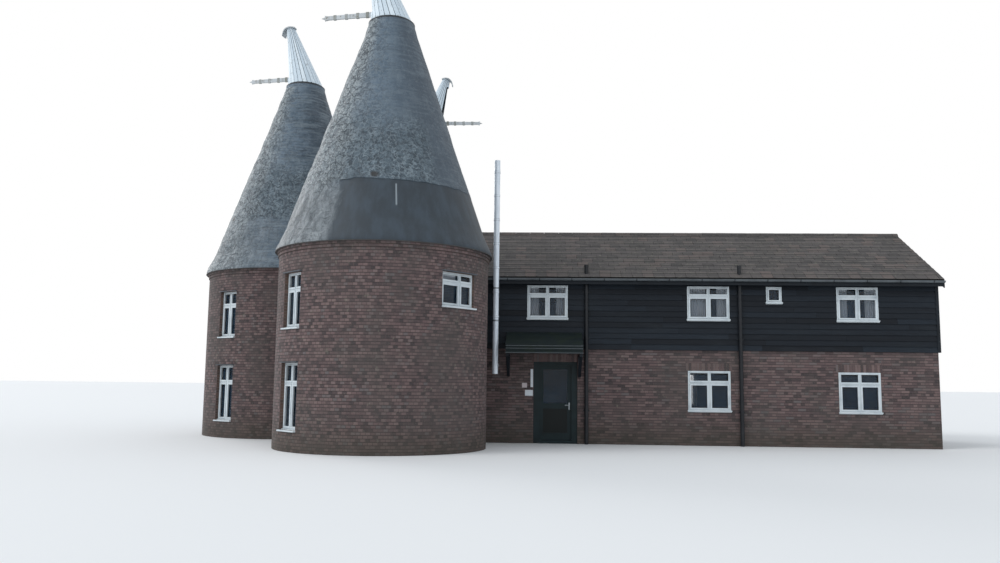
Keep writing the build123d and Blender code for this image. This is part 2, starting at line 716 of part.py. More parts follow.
def roof_slope(y_sign):
    """One side of the roof, from the ridge to the eaves, let in round the kilns."""
    outline = [
        (0, RIDGE_Z),
        (y_sign * EAVES_Y, RIDGE_Z - ROOF_SLOPE * EAVES_Y),
        (y_sign * EAVES_Y, roof_under(EAVES_Y)),
        (0, roof_under(0)),
    ]
    slope = clear_of_kilns(along_x(outline, VERGE_LEFT_X, VERGE_RIGHT_X))
    return max(slope.solids(), key=lambda solid: solid.volume)


def ridge_tiles():
    """Half-round ridge bedded on the two slopes."""
    length = VERGE_RIGHT_X - VERGE_LEFT_X
    middle = (VERGE_RIGHT_X + VERGE_LEFT_X) / 2
    tube = Pos(middle, 0, RIDGE_Z - RIDGE_TILE_SINK) * Rot(0, 90, 0) * Cylinder(RIDGE_TILE_RADIUS, length)
    drop = ROOF_SLOPE * EAVES_Y
    below = [(0, RIDGE_Z), (EAVES_Y, RIDGE_Z - drop), (-EAVES_Y, RIDGE_Z - drop)]
    return clear_of_kilns(tube - along_x(below, VERGE_LEFT_X, VERGE_RIGHT_X))


def fascias():
    """Boards along both eaves, behind the gutters."""
    boards = Part()
    top = roof_under(EAVES_Y) + FASCIA_DEPTH
    for y_sign in (-1, 1):
        low, high = sorted((y_sign * EAVES_Y, y_sign * (EAVES_Y + FASCIA_THICKNESS)))
        board = block(VERGE_LEFT_X, VERGE_RIGHT_X, low, high, top - FASCIA_DEPTH, top)
        boards += clear_of_kilns(board)
    return boards


def gutters():
    """Half-round gutters hung on the fascias."""
    lengths = Part()
    z = roof_under(EAVES_Y) + FASCIA_DEPTH - GUTTER_DROP
    length = VERGE_RIGHT_X - VERGE_LEFT_X
    middle = (VERGE_RIGHT_X + VERGE_LEFT_X) / 2
    for y_sign in (-1, 1):
        y = y_sign * (EAVES_Y + FASCIA_THICKNESS + GUTTER_RADIUS)
        tube = Cylinder(GUTTER_RADIUS, length) - Cylinder(GUTTER_RADIUS - GUTTER_WALL, length)
        tube = Pos(middle, y, z) * Rot(0, 90, 0) * tube
        upper = block(VERGE_LEFT_X, VERGE_RIGHT_X, y - GUTTER_RADIUS, y + GUTTER_RADIUS, z, z + GUTTER_RADIUS)
        lengths += clear_of_kilns(tube - upper)
    return lengths


def barge_boards():
    """Boards up both slopes of the right gable's verge."""
    boards = Part()
    drop = BARGE_DEPTH / math.cos(math.radians(ROOF_PITCH))
    for y_sign in (-1, 1):
        outline = [
            (0, RIDGE_Z),
            (y_sign * EAVES_Y, RIDGE_Z - ROOF_SLOPE * EAVES_Y),
            (y_sign * EAVES_Y, RIDGE_Z - ROOF_SLOPE * EAVES_Y - drop),
            (0, RIDGE_Z - drop),
        ]
        boards += along_x(outline, VERGE_RIGHT_X, VERGE_RIGHT_X + BARGE_THICKNESS)
    return boards


def vent_pipes():
    """Soil pipes up the front wall, through the eaves."""
    pipes = Part()
    for x in VENT_PIPE_XS:
        pipes += drum(VENT_PIPE_RADIUS, 0, VENT_PIPE_TOP_Z, x, VENT_PIPE_Y)
    return pipes


def vent_pipe_holes():
    """Holes for the pipes through the front slope."""
    holes = Part()
    for x in VENT_PIPE_XS:
        holes += drum(VENT_PIPE_RADIUS + TRIM_GAP, BRICK_STOREY, VENT_PIPE_TOP_Z, x, VENT_PIPE_Y)
    return holes


# Entrance


def entrance_frame():
    """Posts, head, threshold and stops, with the fixed halves of the hinges."""
    frame = block(DOORWAY_LEFT_X, DOORWAY_RIGHT_X, FRAME_FRONT_Y, FRAME_BACK_Y, 0, DOORWAY_TOP_Z)
    frame -= block(DOOR_LEFT_X, DOOR_RIGHT_X, FRAME_FRONT_Y, FRAME_BACK_Y, GROUND_FLOOR_TOP, DOOR_HEAD_Z)
    stop_back = FRAME_BACK_Y - DOOR_THICKNESS - DOOR_GAP
    stop = block(DOOR_LEFT_X, DOOR_RIGHT_X, stop_back - DOOR_STOP, stop_back, GROUND_FLOOR_TOP, DOOR_HEAD_Z)
    stop -= block(
        DOOR_LEFT_X + DOOR_STOP,
        DOOR_RIGHT_X - DOOR_STOP,
        stop_back - DOOR_STOP,
        stop_back,
        GROUND_FLOOR_TOP,
        DOOR_HEAD_Z - DOOR_STOP,
    )
    frame += stop
    plate_back = FRAME_BACK_Y + HINGE_PLATE
    for z in HINGE_ZS:
        top = z + KNUCKLE_LENGTH
        frame += block(HINGE_X - HINGE_PLATE_WIDTH, DOOR_LEFT_X, FRAME_BACK_Y, plate_back, z, top)
        frame += drum(KNUCKLE_RADIUS, z, top, HINGE_X, HINGE_Y)
        frame += drum(HINGE_PIN_RADIUS, z, z + 2 * KNUCKLE_LENGTH, HINGE_X, HINGE_Y)
    return frame


def entrance_door():
    """Leaf with a glazed upper half and a sunk lower panel, and its halves of the hinges."""
    left = DOOR_LEFT_X + DOOR_GAP
    right = DOOR_RIGHT_X - DOOR_GAP
    foot = GROUND_FLOOR_TOP + DOOR_GAP
    head = DOOR_HEAD_Z - DOOR_GAP
    front = FRAME_BACK_Y - DOOR_THICKNESS
    leaf = block(left, right, front, FRAME_BACK_Y, foot, head)
    rail_top = DOOR_MID_RAIL_Z + DOOR_MID_RAIL
    light = (left + DOOR_STILE, right - DOOR_STILE, rail_top, head - DOOR_STILE)
    panel = (left + DOOR_STILE, right - DOOR_STILE, foot + DOOR_BOTTOM_RAIL, DOOR_MID_RAIL_Z)
    leaf -= block(light[0], light[1], front, FRAME_BACK_Y, light[2], light[3])
    sunk = (DOOR_THICKNESS - DOOR_PANEL) / 2
    leaf -= block(panel[0], panel[1], front, front + sunk, panel[2], panel[3])
    leaf -= block(panel[0], panel[1], FRAME_BACK_Y - sunk, FRAME_BACK_Y, panel[2], panel[3])
    plate_back = FRAME_BACK_Y + HINGE_PLATE
    for z in HINGE_ZS:
        base = z + KNUCKLE_LENGTH + SEAT_GAP
        top = base + KNUCKLE_LENGTH
        hinge = block(left, HINGE_X + HINGE_PLATE_WIDTH, FRAME_BACK_Y, plate_back, base, top)
        hinge += drum(KNUCKLE_RADIUS, base, top, HINGE_X, HINGE_Y)
        leaf += hinge - drum(HINGE_PIN_RADIUS + BEARING_GAP, base, top, HINGE_X, HINGE_Y)
    middle = (front + FRAME_BACK_Y) / 2
    pane = block(light[0], light[1], middle - DOOR_GLASS / 2, middle + DOOR_GLASS / 2, light[2], light[3])
    return leaf, pane


def entrance_canopy():
    """Lean-to canopy: sloping boards, a fascia across the front and a cheek at each end."""
    wall_y = -BOARD_FACE
    front_y = -(BOARD_FACE + CANOPY_REACH)
    roof = [
        (wall_y, CANOPY_WALL_Z),
        (wall_y, CANOPY_WALL_Z - CANOPY_BOARD),
        (front_y, CANOPY_FRONT_Z - CANOPY_BOARD),
        (front_y, CANOPY_FRONT_Z),
    ]
    canopy = along_x(roof, CANOPY_LEFT_X, CANOPY_RIGHT_X)
    fascia_back = front_y + CANOPY_FASCIA
    canopy += block(CANOPY_LEFT_X, CANOPY_RIGHT_X, front_y, fascia_back, CANOPY_FOOT_Z, CANOPY_FRONT_Z)
    cheek = [
        (wall_y, BRICK_STOREY),
        (wall_y, CANOPY_WALL_Z),
        (front_y, CANOPY_FRONT_Z),
        (front_y, CANOPY_FOOT_Z),
    ]
    canopy += along_x(cheek, CANOPY_LEFT_X, CANOPY_LEFT_X + CANOPY_CHEEK)
    canopy += along_x(cheek, CANOPY_RIGHT_X - CANOPY_CHEEK, CANOPY_RIGHT_X)
    return canopy


def canopy_brackets():
    """Timber brackets under the canopy's ends: wall post, arm and brace."""
    brackets = Part()
    front_y = -(BOARD_FACE + CANOPY_REACH - CANOPY_FASCIA)
    arm_top = CANOPY_FOOT_Z
    for x in (CANOPY_LEFT_X, CANOPY_RIGHT_X - BRACKET_SIZE):
        post_front = -(HALF_WIDTH + BRACKET_SIZE)
        bracket = block(x, x + BRACKET_SIZE, post_front, -HALF_WIDTH, arm_top - BRACKET_DROP, arm_top)
        bracket += block(x, x + BRACKET_SIZE, front_y, -HALF_WIDTH, arm_top - BRACKET_SIZE, arm_top)
        brace = [
            (post_front, arm_top - BRACKET_DROP),
            (post_front, arm_top - BRACKET_DROP + BRACKET_SIZE),
            (front_y + BRACKET_SIZE, arm_top - BRACKET_SIZE),
            (front_y, arm_top - BRACKET_SIZE),
        ]
        brackets += bracket + along_x(brace, x, x + BRACKET_SIZE)
    return brackets


# Flue


def flue():
    """Insulated flue: a tee through the wall, and straight lengths with locking bands."""
    pipe = drum(FLUE_RADIUS, FLUE_FOOT_Z, FLUE_TOP_Z)
    reach = -HALF_WIDTH - FLUE_Y
    branch = Pos(0, reach / 2, FLUE_TEE_Z) * Rot(90, 0, 0) * Cylinder(FLUE_RADIUS, reach)
    pipe += branch
    z = FLUE_TOP_Z - FLUE_BAND_STEP / 2
    while z > FLUE_TEE_Z + FLUE_BAND_STEP:
        pipe += drum(FLUE_BAND_RADIUS, z - FLUE_BAND_HEIGHT / 2, z + FLUE_BAND_HEIGHT / 2)
        z -= FLUE_BAND_STEP
    pipe -= drum(FLUE_RADIUS - FLUE_WALL, FLUE_TEE_Z, FLUE_TOP_Z)
    return Pos(FLUE_X, FLUE_Y, 0) * pipe


def flue_straps():
    """Stand-off straps that hold the flue to the boarded wall."""
    straps = Part()
    for z in FLUE_STRAP_ZS:
        ring = drum(FLUE_BAND_RADIUS, z, z + FLUE_STRAP_HEIGHT, FLUE_X, FLUE_Y)
        half = FLUE_RADIUS / 2
        arm = block(FLUE_X - half, FLUE_X + half, FLUE_Y, -BOARD_FACE, z, z + FLUE_STRAP_HEIGHT)
        hole = drum(FLUE_RADIUS + TRIM_GAP, z, z + FLUE_STRAP_HEIGHT, FLUE_X, FLUE_Y)
        straps += ring + arm - hole
    return straps


# Assembly


def build_nodes():
    """Every piece of the house by its node name."""
    nodes = {}
    ground_floors = Part()
    upper_floors = Part()
    curbs = Part()
    foot_beams = Part()
    for name, kiln in KILNS.items():
        bays, plain = kiln_walls(name, kiln)
        nodes[f"{name}_kiln_window_bays"] = bays
        nodes[f"{name}_kiln_wall"] = plain
        nodes[f"{name}_kiln_roof"] = kiln_roof(kiln)
        nodes[f"{name}_cowl_shell"] = cowl_shell(kiln)
        nodes[f"{name}_cowl_cap"] = cowl_cap(kiln)
        nodes[f"{name}_cowl_post"] = cowl_post(kiln)
        nodes[f"{name}_vane_arm"] = vane_arm(kiln)
        ground_floors += kiln_floor(name, kiln, 0, GROUND_FLOOR_TOP)
        upper_floors += kiln_floor(name, kiln, FLOOR_UNDERSIDE, BRICK_STOREY)
        curbs += curb(kiln)
        foot_beams += foot_beam(kiln)
    nodes["kiln_ground_floors"] = ground_floors
    nodes["kiln_upper_floors"] = upper_floors
    nodes["cowl_curbs"] = curbs
    nodes["cowl_foot_beams"] = foot_beams
    frames, glass, sills = windows()
    nodes["window_frames"] = frames
    nodes["window_glass"] = glass
    nodes["window_sills"] = sills
    left, over, right, back = brick_long_walls()
    nodes["front_wall_left_of_door"] = left
    nodes["front_wall_over_door"] = over
    nodes["front_wall_right_of_door"] = right
    nodes["back_wall"] = back
    nodes["front_boarded_wall"] = boarded_long_wall(-1)
    nodes["back_boarded_wall"] = boarded_long_wall(1)
    left_end, right_end, gable = end_walls()
    nodes["left_end_wall"] = left_end
    nodes["right_end_wall"] = right_end
    nodes["right_boarded_gable"] = gable
    inner_left = STOWAGE_LEFT_X + BRICK_WALL
    inner_right = STOWAGE_RIGHT_X - BRICK_WALL
    nodes["stowage_ground_floor"] = block(
        inner_left, inner_right, -BRICK_INNER, BRICK_INNER, 0, GROUND_FLOOR_TOP
    )
    nodes["stowage_upper_floor"] = block(
        inner_left, inner_right, -BRICK_INNER, BRICK_INNER, FLOOR_UNDERSIDE, BRICK_STOREY
    )
    nodes["front_roof_slope"] = roof_slope(-1) - vent_pipe_holes()
    nodes["back_roof_slope"] = roof_slope(1)
    nodes["ridge_tiles"] = ridge_tiles()
    nodes["eaves_fascias"] = fascias()
    nodes["gutters"] = gutters()
    nodes["barge_boards"] = barge_boards()
    nodes["vent_pipes"] = vent_pipes()
    nodes["entrance_frame"] = entrance_frame()
    leaf, pane = entrance_door()
    nodes["entrance_door"] = leaf
    nodes["entrance_door_glass"] = pane
    nodes["entrance_canopy"] = entrance_canopy()
    nodes["canopy_brackets"] = canopy_brackets()
    nodes["flue"] = flue()
    nodes["flue_straps"] = flue_straps()
    return nodes


os.makedirs("parts", exist_ok=True)
for node_name, node_shape in build_nodes().items():
    export_step(node_shape, f"parts/{node_name}.step")
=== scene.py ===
import math
import random

import bmesh
import bpy
from mathutils import Matrix, Vector, noise


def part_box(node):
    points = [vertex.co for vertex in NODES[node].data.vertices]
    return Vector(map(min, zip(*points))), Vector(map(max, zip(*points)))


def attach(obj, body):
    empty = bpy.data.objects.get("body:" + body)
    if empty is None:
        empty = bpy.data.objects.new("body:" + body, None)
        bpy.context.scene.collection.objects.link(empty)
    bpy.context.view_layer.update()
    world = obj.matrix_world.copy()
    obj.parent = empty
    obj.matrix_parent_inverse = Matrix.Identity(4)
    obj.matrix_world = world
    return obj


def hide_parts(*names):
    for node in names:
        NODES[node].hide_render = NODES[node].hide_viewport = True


# Looks of the oast house, in metres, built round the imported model

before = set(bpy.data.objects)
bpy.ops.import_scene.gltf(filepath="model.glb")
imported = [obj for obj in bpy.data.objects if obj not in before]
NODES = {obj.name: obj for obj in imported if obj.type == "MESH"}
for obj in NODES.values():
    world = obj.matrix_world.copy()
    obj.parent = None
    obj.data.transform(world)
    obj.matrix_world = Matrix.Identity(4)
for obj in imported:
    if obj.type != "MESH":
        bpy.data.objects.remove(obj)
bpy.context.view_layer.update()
HOUSE = "house"
random.seed(4)

# Camera: where the photograph was taken from, and its lens and tilt
CAMERA_PLACE = Vector((4.0, -27.0, 1.65))
CAMERA_YAW = math.radians(-2.62)
CAMERA_PITCH = math.radians(6.73)
CAMERA_ROLL = math.radians(0.67)
FOCAL_PIXELS = 861
PHOTO_WIDTH = 1000
SENSOR = 36

# Kilns: centre and the way the cowl's open side faces
KILN_RADIUS = 2.67
KILN_WALL_TOP = 4.88
SIDE_KILN_Y = 4.97
LEFT_KILN_X = -3.6907
BACK_KILN_X = -0.24
KILNS = {
    "front": (Vector((0, -SIDE_KILN_Y, 0)), math.radians(170)),
    "left": (Vector((LEFT_KILN_X, 0, 0)), math.radians(170)),
    "back": (Vector((BACK_KILN_X, SIDE_KILN_Y, 0)), 0.0),
}

# Kiln roofs
EAVES_RADIUS = 2.77
EAVES_LIP = 0.06
EAVES_LIP_Z = KILN_WALL_TOP + EAVES_LIP
SPROCKET_Z = 5.45
SPROCKET_KICK = 0.03
CONE_TOP_Z = 11.1
CONE_TOP_RADIUS = 0.6
CONE_LEVEL_WALL = 0.1588
COURSE = 0.1
TILE_TAIL = 0.007
ROOF_SEGMENTS = 224
APRON_DEPTH = 0.12

# Cowls
COWL_FOOT_Z = 11.22
COWL_HEIGHT = 2.03
COWL_BASE_RADIUS = 0.56
COWL_TOP_RADIUS = 0.14
COWL_LEAN = 0.61
COWL_BOARDS = 24
COWL_OPEN_BOARDS = 6
COWL_BOARD_DEPTH = 0.025
COWL_GROOVE = 0.008
COWL_BASE_BAND = 0.225
COWL_TOP_BAND = 0.32
CAP_REACH = 0.09
CAP_DROOP = 0.25
CAP_STEPS = 6

# Stowage
HALF_WIDTH = 2.7
BOARD_FACE = 2.73
BRICK_TOP = 2.62
KILN_EDGE = math.sqrt(KILN_RADIUS**2 - (SIDE_KILN_Y - HALF_WIDTH) ** 2)
STOWAGE_LEFT = -KILN_EDGE
STOWAGE_RIGHT = 15.0
RIDGE_Z = 6.34
PITCH = math.radians(30)
ROOF_DEPTH = 0.208
EAVES_Y = 2.95
TILE_GAUGE = 0.3
TILE_WIDTH = 0.3
TILE_LENGTH = 0.42
TILE_THICKNESS = 0.016
VERGE_RIGHT = 15.12
VERGE_LEFT = STOWAGE_LEFT - 0.09
BOARD_EXPOSURE = 0.155
BOARD_THICKNESS = 0.014
BOARD_TOP = RIDGE_Z - ROOF_DEPTH - math.tan(PITCH) * BOARD_FACE
GABLE_TOP = RIDGE_Z - ROOF_DEPTH

# Bricks, and the doorway's left, right and head
COURSE_HEIGHT = 0.075
BRICK_LENGTH = 0.225
HEADERS_ROUND = 149
JOINT_HALF = 0.007
BRICK_RELIEF = 0.004
SKIN_GAP = 0.001
CORBEL_STEP = 0.025
ARCH_SIDE = 0.04
ARCH_HEIGHT = 0.215
DOORWAY = (3.86, 5.083, 2.26)

# Entrance, flue and pipes
DOOR_FACES = ((-2.604, -1), (-2.56, 1))
CANOPY_WALL_Z = 3.06
CANOPY_FRONT_Z = 2.68
CANOPY_REACH = 1.0
CANOPY_BOARDS = 7
CANOPY_TRIMS_Z = (2.665, 2.592, 2.475)
FLUE_X = 2.804
FLUE_Y = -3.221
FLUE_BAND_RADIUS = 0.0885
FLUE_SECTION = 0.68
SOIL_PIPES_X = (5.33, 9.6)
SOIL_PIPE_SOCKETS_Z = (0.9, 2.9, 4.2)
GUTTER_BRACKET_GAP = 0.9

# Windows: direction or left edge, width, sill and head
KILN_WINDOWS = {
    "front": [(-37.6, 1.1, 3.44, 4.26), (-135, 0.75, 2.9, 4.22), (-135, 0.75, 0.5, 2.07)],
    "left": [(-122, 0.7, 2.9, 4.22), (-122, 0.7, 0.5, 2.07), (135, 0.75, 2.9, 4.22)],
    "back": [(37.6, 1.1, 3.44, 4.26), (135, 0.75, 2.9, 4.22), (135, 0.75, 0.5, 2.07)],
}
UPPER_WINDOWS = [
    (3.67, 1.14, 3.47, 4.41),
    (8.15, 1.17, 3.47, 4.41),
    (12.27, 1.14, 3.47, 4.41),
    (10.34, 0.43, 3.96, 4.41),
]
LOWER_WINDOWS = [(8.15, 1.17, 0.95, 2.05), (12.27, 1.14, 0.95, 2.05)]
FRAME_DEPTH = 0.07
FRAME_PROUD = 0.015
KILN_FRAME_INSET = 0.06
MULLION_SHIFT = 0.09


# Material helpers: shader nodes written as sums, with colours as on a screen, from 0 to 255


def colour(red, green, blue):
    """Screen colour made linear."""
    linear = []
    for value in (red, green, blue):
        value /= 255
        linear.append(value / 12.92 if value <= 0.04045 else ((value + 0.055) / 1.055) ** 2.4)
    return (*linear, 1)


def grey(value):
    """Linear grey as a colour."""
    return (value, value, value, 1)


class Value:
    """Output of a shader node, which sums can be written with."""

    def __init__(self, made, output=0):
        self.tree = made.id_data
        self.socket = made.outputs[output]

    def __add__(self, other):
        return maths("ADD", self, other)

    def __sub__(self, other):
        return maths("SUBTRACT", self, other)

    def __rsub__(self, other):
        return maths("SUBTRACT", other, self)

    def __mul__(self, other):
        return maths("MULTIPLY", self, other)

    def __truediv__(self, other):
        return maths("DIVIDE", self, other)


def plug(socket, value):
    """Links a value to a socket, or sets the socket."""
    if isinstance(value, Value):
        value.tree.links.new(value.socket, socket)
    elif socket.type == "RGBA" and len(value) == 3:
        socket.default_value = colour(*value)
    else:
        socket.default_value = value


def node(tree, kind, settings=None, **inputs):
    """Shader node with its settings, and its sockets set or linked by name."""
    made = tree.nodes.new("ShaderNode" + kind)
    for key, value in (settings or {}).items():
        setattr(made, key, value)
    for key, value in inputs.items():
        plug(made.inputs[key.replace("_", " ")], value)
    return made


def maths(operation, first, second=0.0):
    """Result of one sum."""
    tree = (first if isinstance(first, Value) else second).tree
    made = node(tree, "Math", {"operation": operation})
    plug(made.inputs[0], first)
    plug(made.inputs[1], second)
    return Value(made)


def mixed(factor, first, second):
    """Two colours mixed."""
    made = node(factor.tree, "Mix", {"data_type": "RGBA"})
    for index, value in ((0, factor), (6, first), (7, second)):
        plug(made.inputs[index], value)
    return Value(made, 2)


def layered(tint, *layers):
    """Colours laid over the first one, each with its mask."""
    for mask, upper in layers:
        tint = mixed(mask, tint, upper)
    return tint


def ramp(factor, *stops):
    """Colour ramp from (place, linear colour) stops."""
    made = node(factor.tree, "ValToRGB", Fac=factor)
    elements = made.color_ramp.elements
    while len(elements) < len(stops):
        elements.new(0.5)
    for element, (place, tint) in zip(elements, stops):
        element.position = place
        element.color = tint
    return Value(made, "Color")


def shades(factor, *stops):
    """Colour ramp from (place, red, green, blue) stops."""
    return ramp(factor, *[(place, colour(*tint)) for place, *tint in stops])


def between(factor, start, end, low=0.0, high=1.0):
    """Straight change from one amount to another between two places."""
    return ramp(factor, (start, grey(low)), (end, grey(high)))


def rise(value, start, end):
    """0 below the start and 1 above the end."""
    soft = {"interpolation_type": "SMOOTHSTEP"}
    return Value(node(value.tree, "MapRange", soft, Value=value, From_Min=start, From_Max=end), "Result")


def cloud(vector, scale, detail=4.0, roughness=0.55, distortion=0.0):
    """Noise between 0 and 1."""
    settings = {"Scale": scale, "Detail": detail, "Roughness": roughness, "Distortion": distortion}
    return Value(node(vector.tree, "TexNoise", Vector=vector, **settings), "Fac")


def stretched(vector, scale, shift=(0, 0, 0)):
    """Coordinates scaled and shifted."""
    return Value(node(vector.tree, "Mapping", Vector=vector, Scale=scale, Location=shift), "Vector")


def warped(vector, scale, amount):
    """Coordinates pushed about by noise."""
    push = node(vector.tree, "TexNoise", Vector=vector, Scale=scale, Detail=3.0, Roughness=0.6)
    made = node(vector.tree, "VectorMath", {"operation": "MULTIPLY_ADD"})
    for index, value in enumerate((Value(push, "Color"), (amount, amount, amount), vector)):
        plug(made.inputs[index], value)
    return Value(made)


def net(vector, scale):
    """Distance to the nearest line of an irregular net."""
    edges = {"feature": "DISTANCE_TO_EDGE"}
    return Value(node(vector.tree, "TexVoronoi", edges, Vector=vector, Scale=scale), "Distance")


def split(vector):
    """Three values of a vector."""
    made = node(vector.tree, "SeparateXYZ", Vector=vector)
    return Value(made, "X"), Value(made, "Y"), Value(made, "Z")


def combine(x, y):
    """Vector from two values."""
    return Value(node(x.tree, "CombineXYZ", X=x, Y=y))


def bump(height, strength, distance, normal=None):
    """Bump from a height."""
    made = node(height.tree, "Bump", Height=height, Strength=strength, Distance=distance)
    if normal is not None:
        plug(made.inputs["Normal"], normal)
    return Value(made)


class Look:
    """Material in the making: its shader, object coordinates and each face's own shade."""

    def __init__(self, name, roughness, **sockets):
        self.material = bpy.data.materials.new(name)
        self.material.use_nodes = True
        self.tree = self.material.node_tree
        self.tree.nodes.clear()
        self.shader = node(self.tree, "BsdfPrincipled")
        node(self.tree, "OutputMaterial", Surface=Value(self.shader, "BSDF"))
        self.wired(Roughness=roughness, **sockets)
        self.place = Value(node(self.tree, "TexCoord"), "Object")

    def tone(self):
        """Each brick's, board's or tile's own shade, from 0 to 1."""
        return Value(node(self.tree, "Attribute", {"attribute_name": "tone"}), "Fac")

    def wired(self, **sockets):
        """The material, with more of its shader's sockets set."""
        for key, value in sockets.items():
            plug(self.shader.inputs[key.replace("_", " ")], value)
        return self.material


# Materials


def brick_material(name, wall_vector, brick_length):
    """Stock bricks in lime mortar for the hidden faces and the window reveals."""
    look = Look(name, 0.9)
    bricks = node(
        look.tree,
        "TexBrick",
        {"offset": 0.5},
        Vector=wall_vector(look.place),
        Color1=(112, 88, 78),
        Color2=(84, 72, 68),
        Mortar=(128, 120, 110),
        Scale=1.0,
        Mortar_Size=0.005,
        Mortar_Smooth=0.25,
        Brick_Width=brick_length,
        Row_Height=COURSE_HEIGHT,
    )
    relief = cloud(look.place, 60) * 0.35 - Value(bricks, "Fac")
    return look.wired(Base_Color=Value(bricks, "Color"), Normal=bump(relief, 0.8, 0.008))


def laid_brick_material(name):
    """Bricks laid one by one: each its own shade, with soot, lichen and damp near the ground.

    Shades below 0 are mortar: -0.7 in the upright joints and -1 in the bed joints, painted dark as the shade in their
    recess.
    """
    look = Look(name, 0.9)
    place = look.place
    shade = shades(
        look.tone(),
        (0.0, 64, 57, 59),
        (0.25, 88, 74, 75),
        (0.6, 107, 88, 88),
        (0.85, 121, 102, 100),
        (1.0, 100, 94, 95),
    )
    pitted = cloud(place, 42, 4, 0.65)
    worn = mixed(rise(pitted, 0.5, 0.68) * 0.4, shade, (122, 108, 98))
    # Painted shade: the bed joints take a dark colour that stands for the shadow in their recess under each course
    bed = mixed(cloud(place, 20, 3), (40, 36, 36), (64, 58, 56))
    mortar = mixed(maths("LESS_THAN", look.tone(), -0.85), (92, 77, 76), bed)
    patches = cloud(place, 0.8, 5)
    lichen = rise(cloud(place, 7, 6, 0.65), 0.6, 0.7)
    height = split(place)[2]
    tint = layered(
        worn,
        (maths("LESS_THAN", look.tone(), -0.5), mortar),
        (rise(patches, 0.4, 0.68) * 0.5, (78, 75, 72)),
        (lichen * 0.3, (142, 139, 124)),
        ((1 - rise(height + patches * 0.9, 0.4, 1.4)) * 0.6, (66, 63, 54)),
    )
    return look.wired(Base_Color=tint, Normal=bump(pitted, 0.5, 0.006))


def flat_wall_vector(place):
    """Straight walls: along the wall and up it."""
    x, y, z = split(place)
    return combine(x + y, z)


def round_wall_vector(centre):
    """Round walls: round the kiln's face and up it."""

    def vector(place):
        x, y, z = split(stretched(place, (1, 1, 1), (-centre.x, -centre.y, 0)))
        return combine(maths("ARCTAN2", y, x) * KILN_RADIUS, z)

    return vector


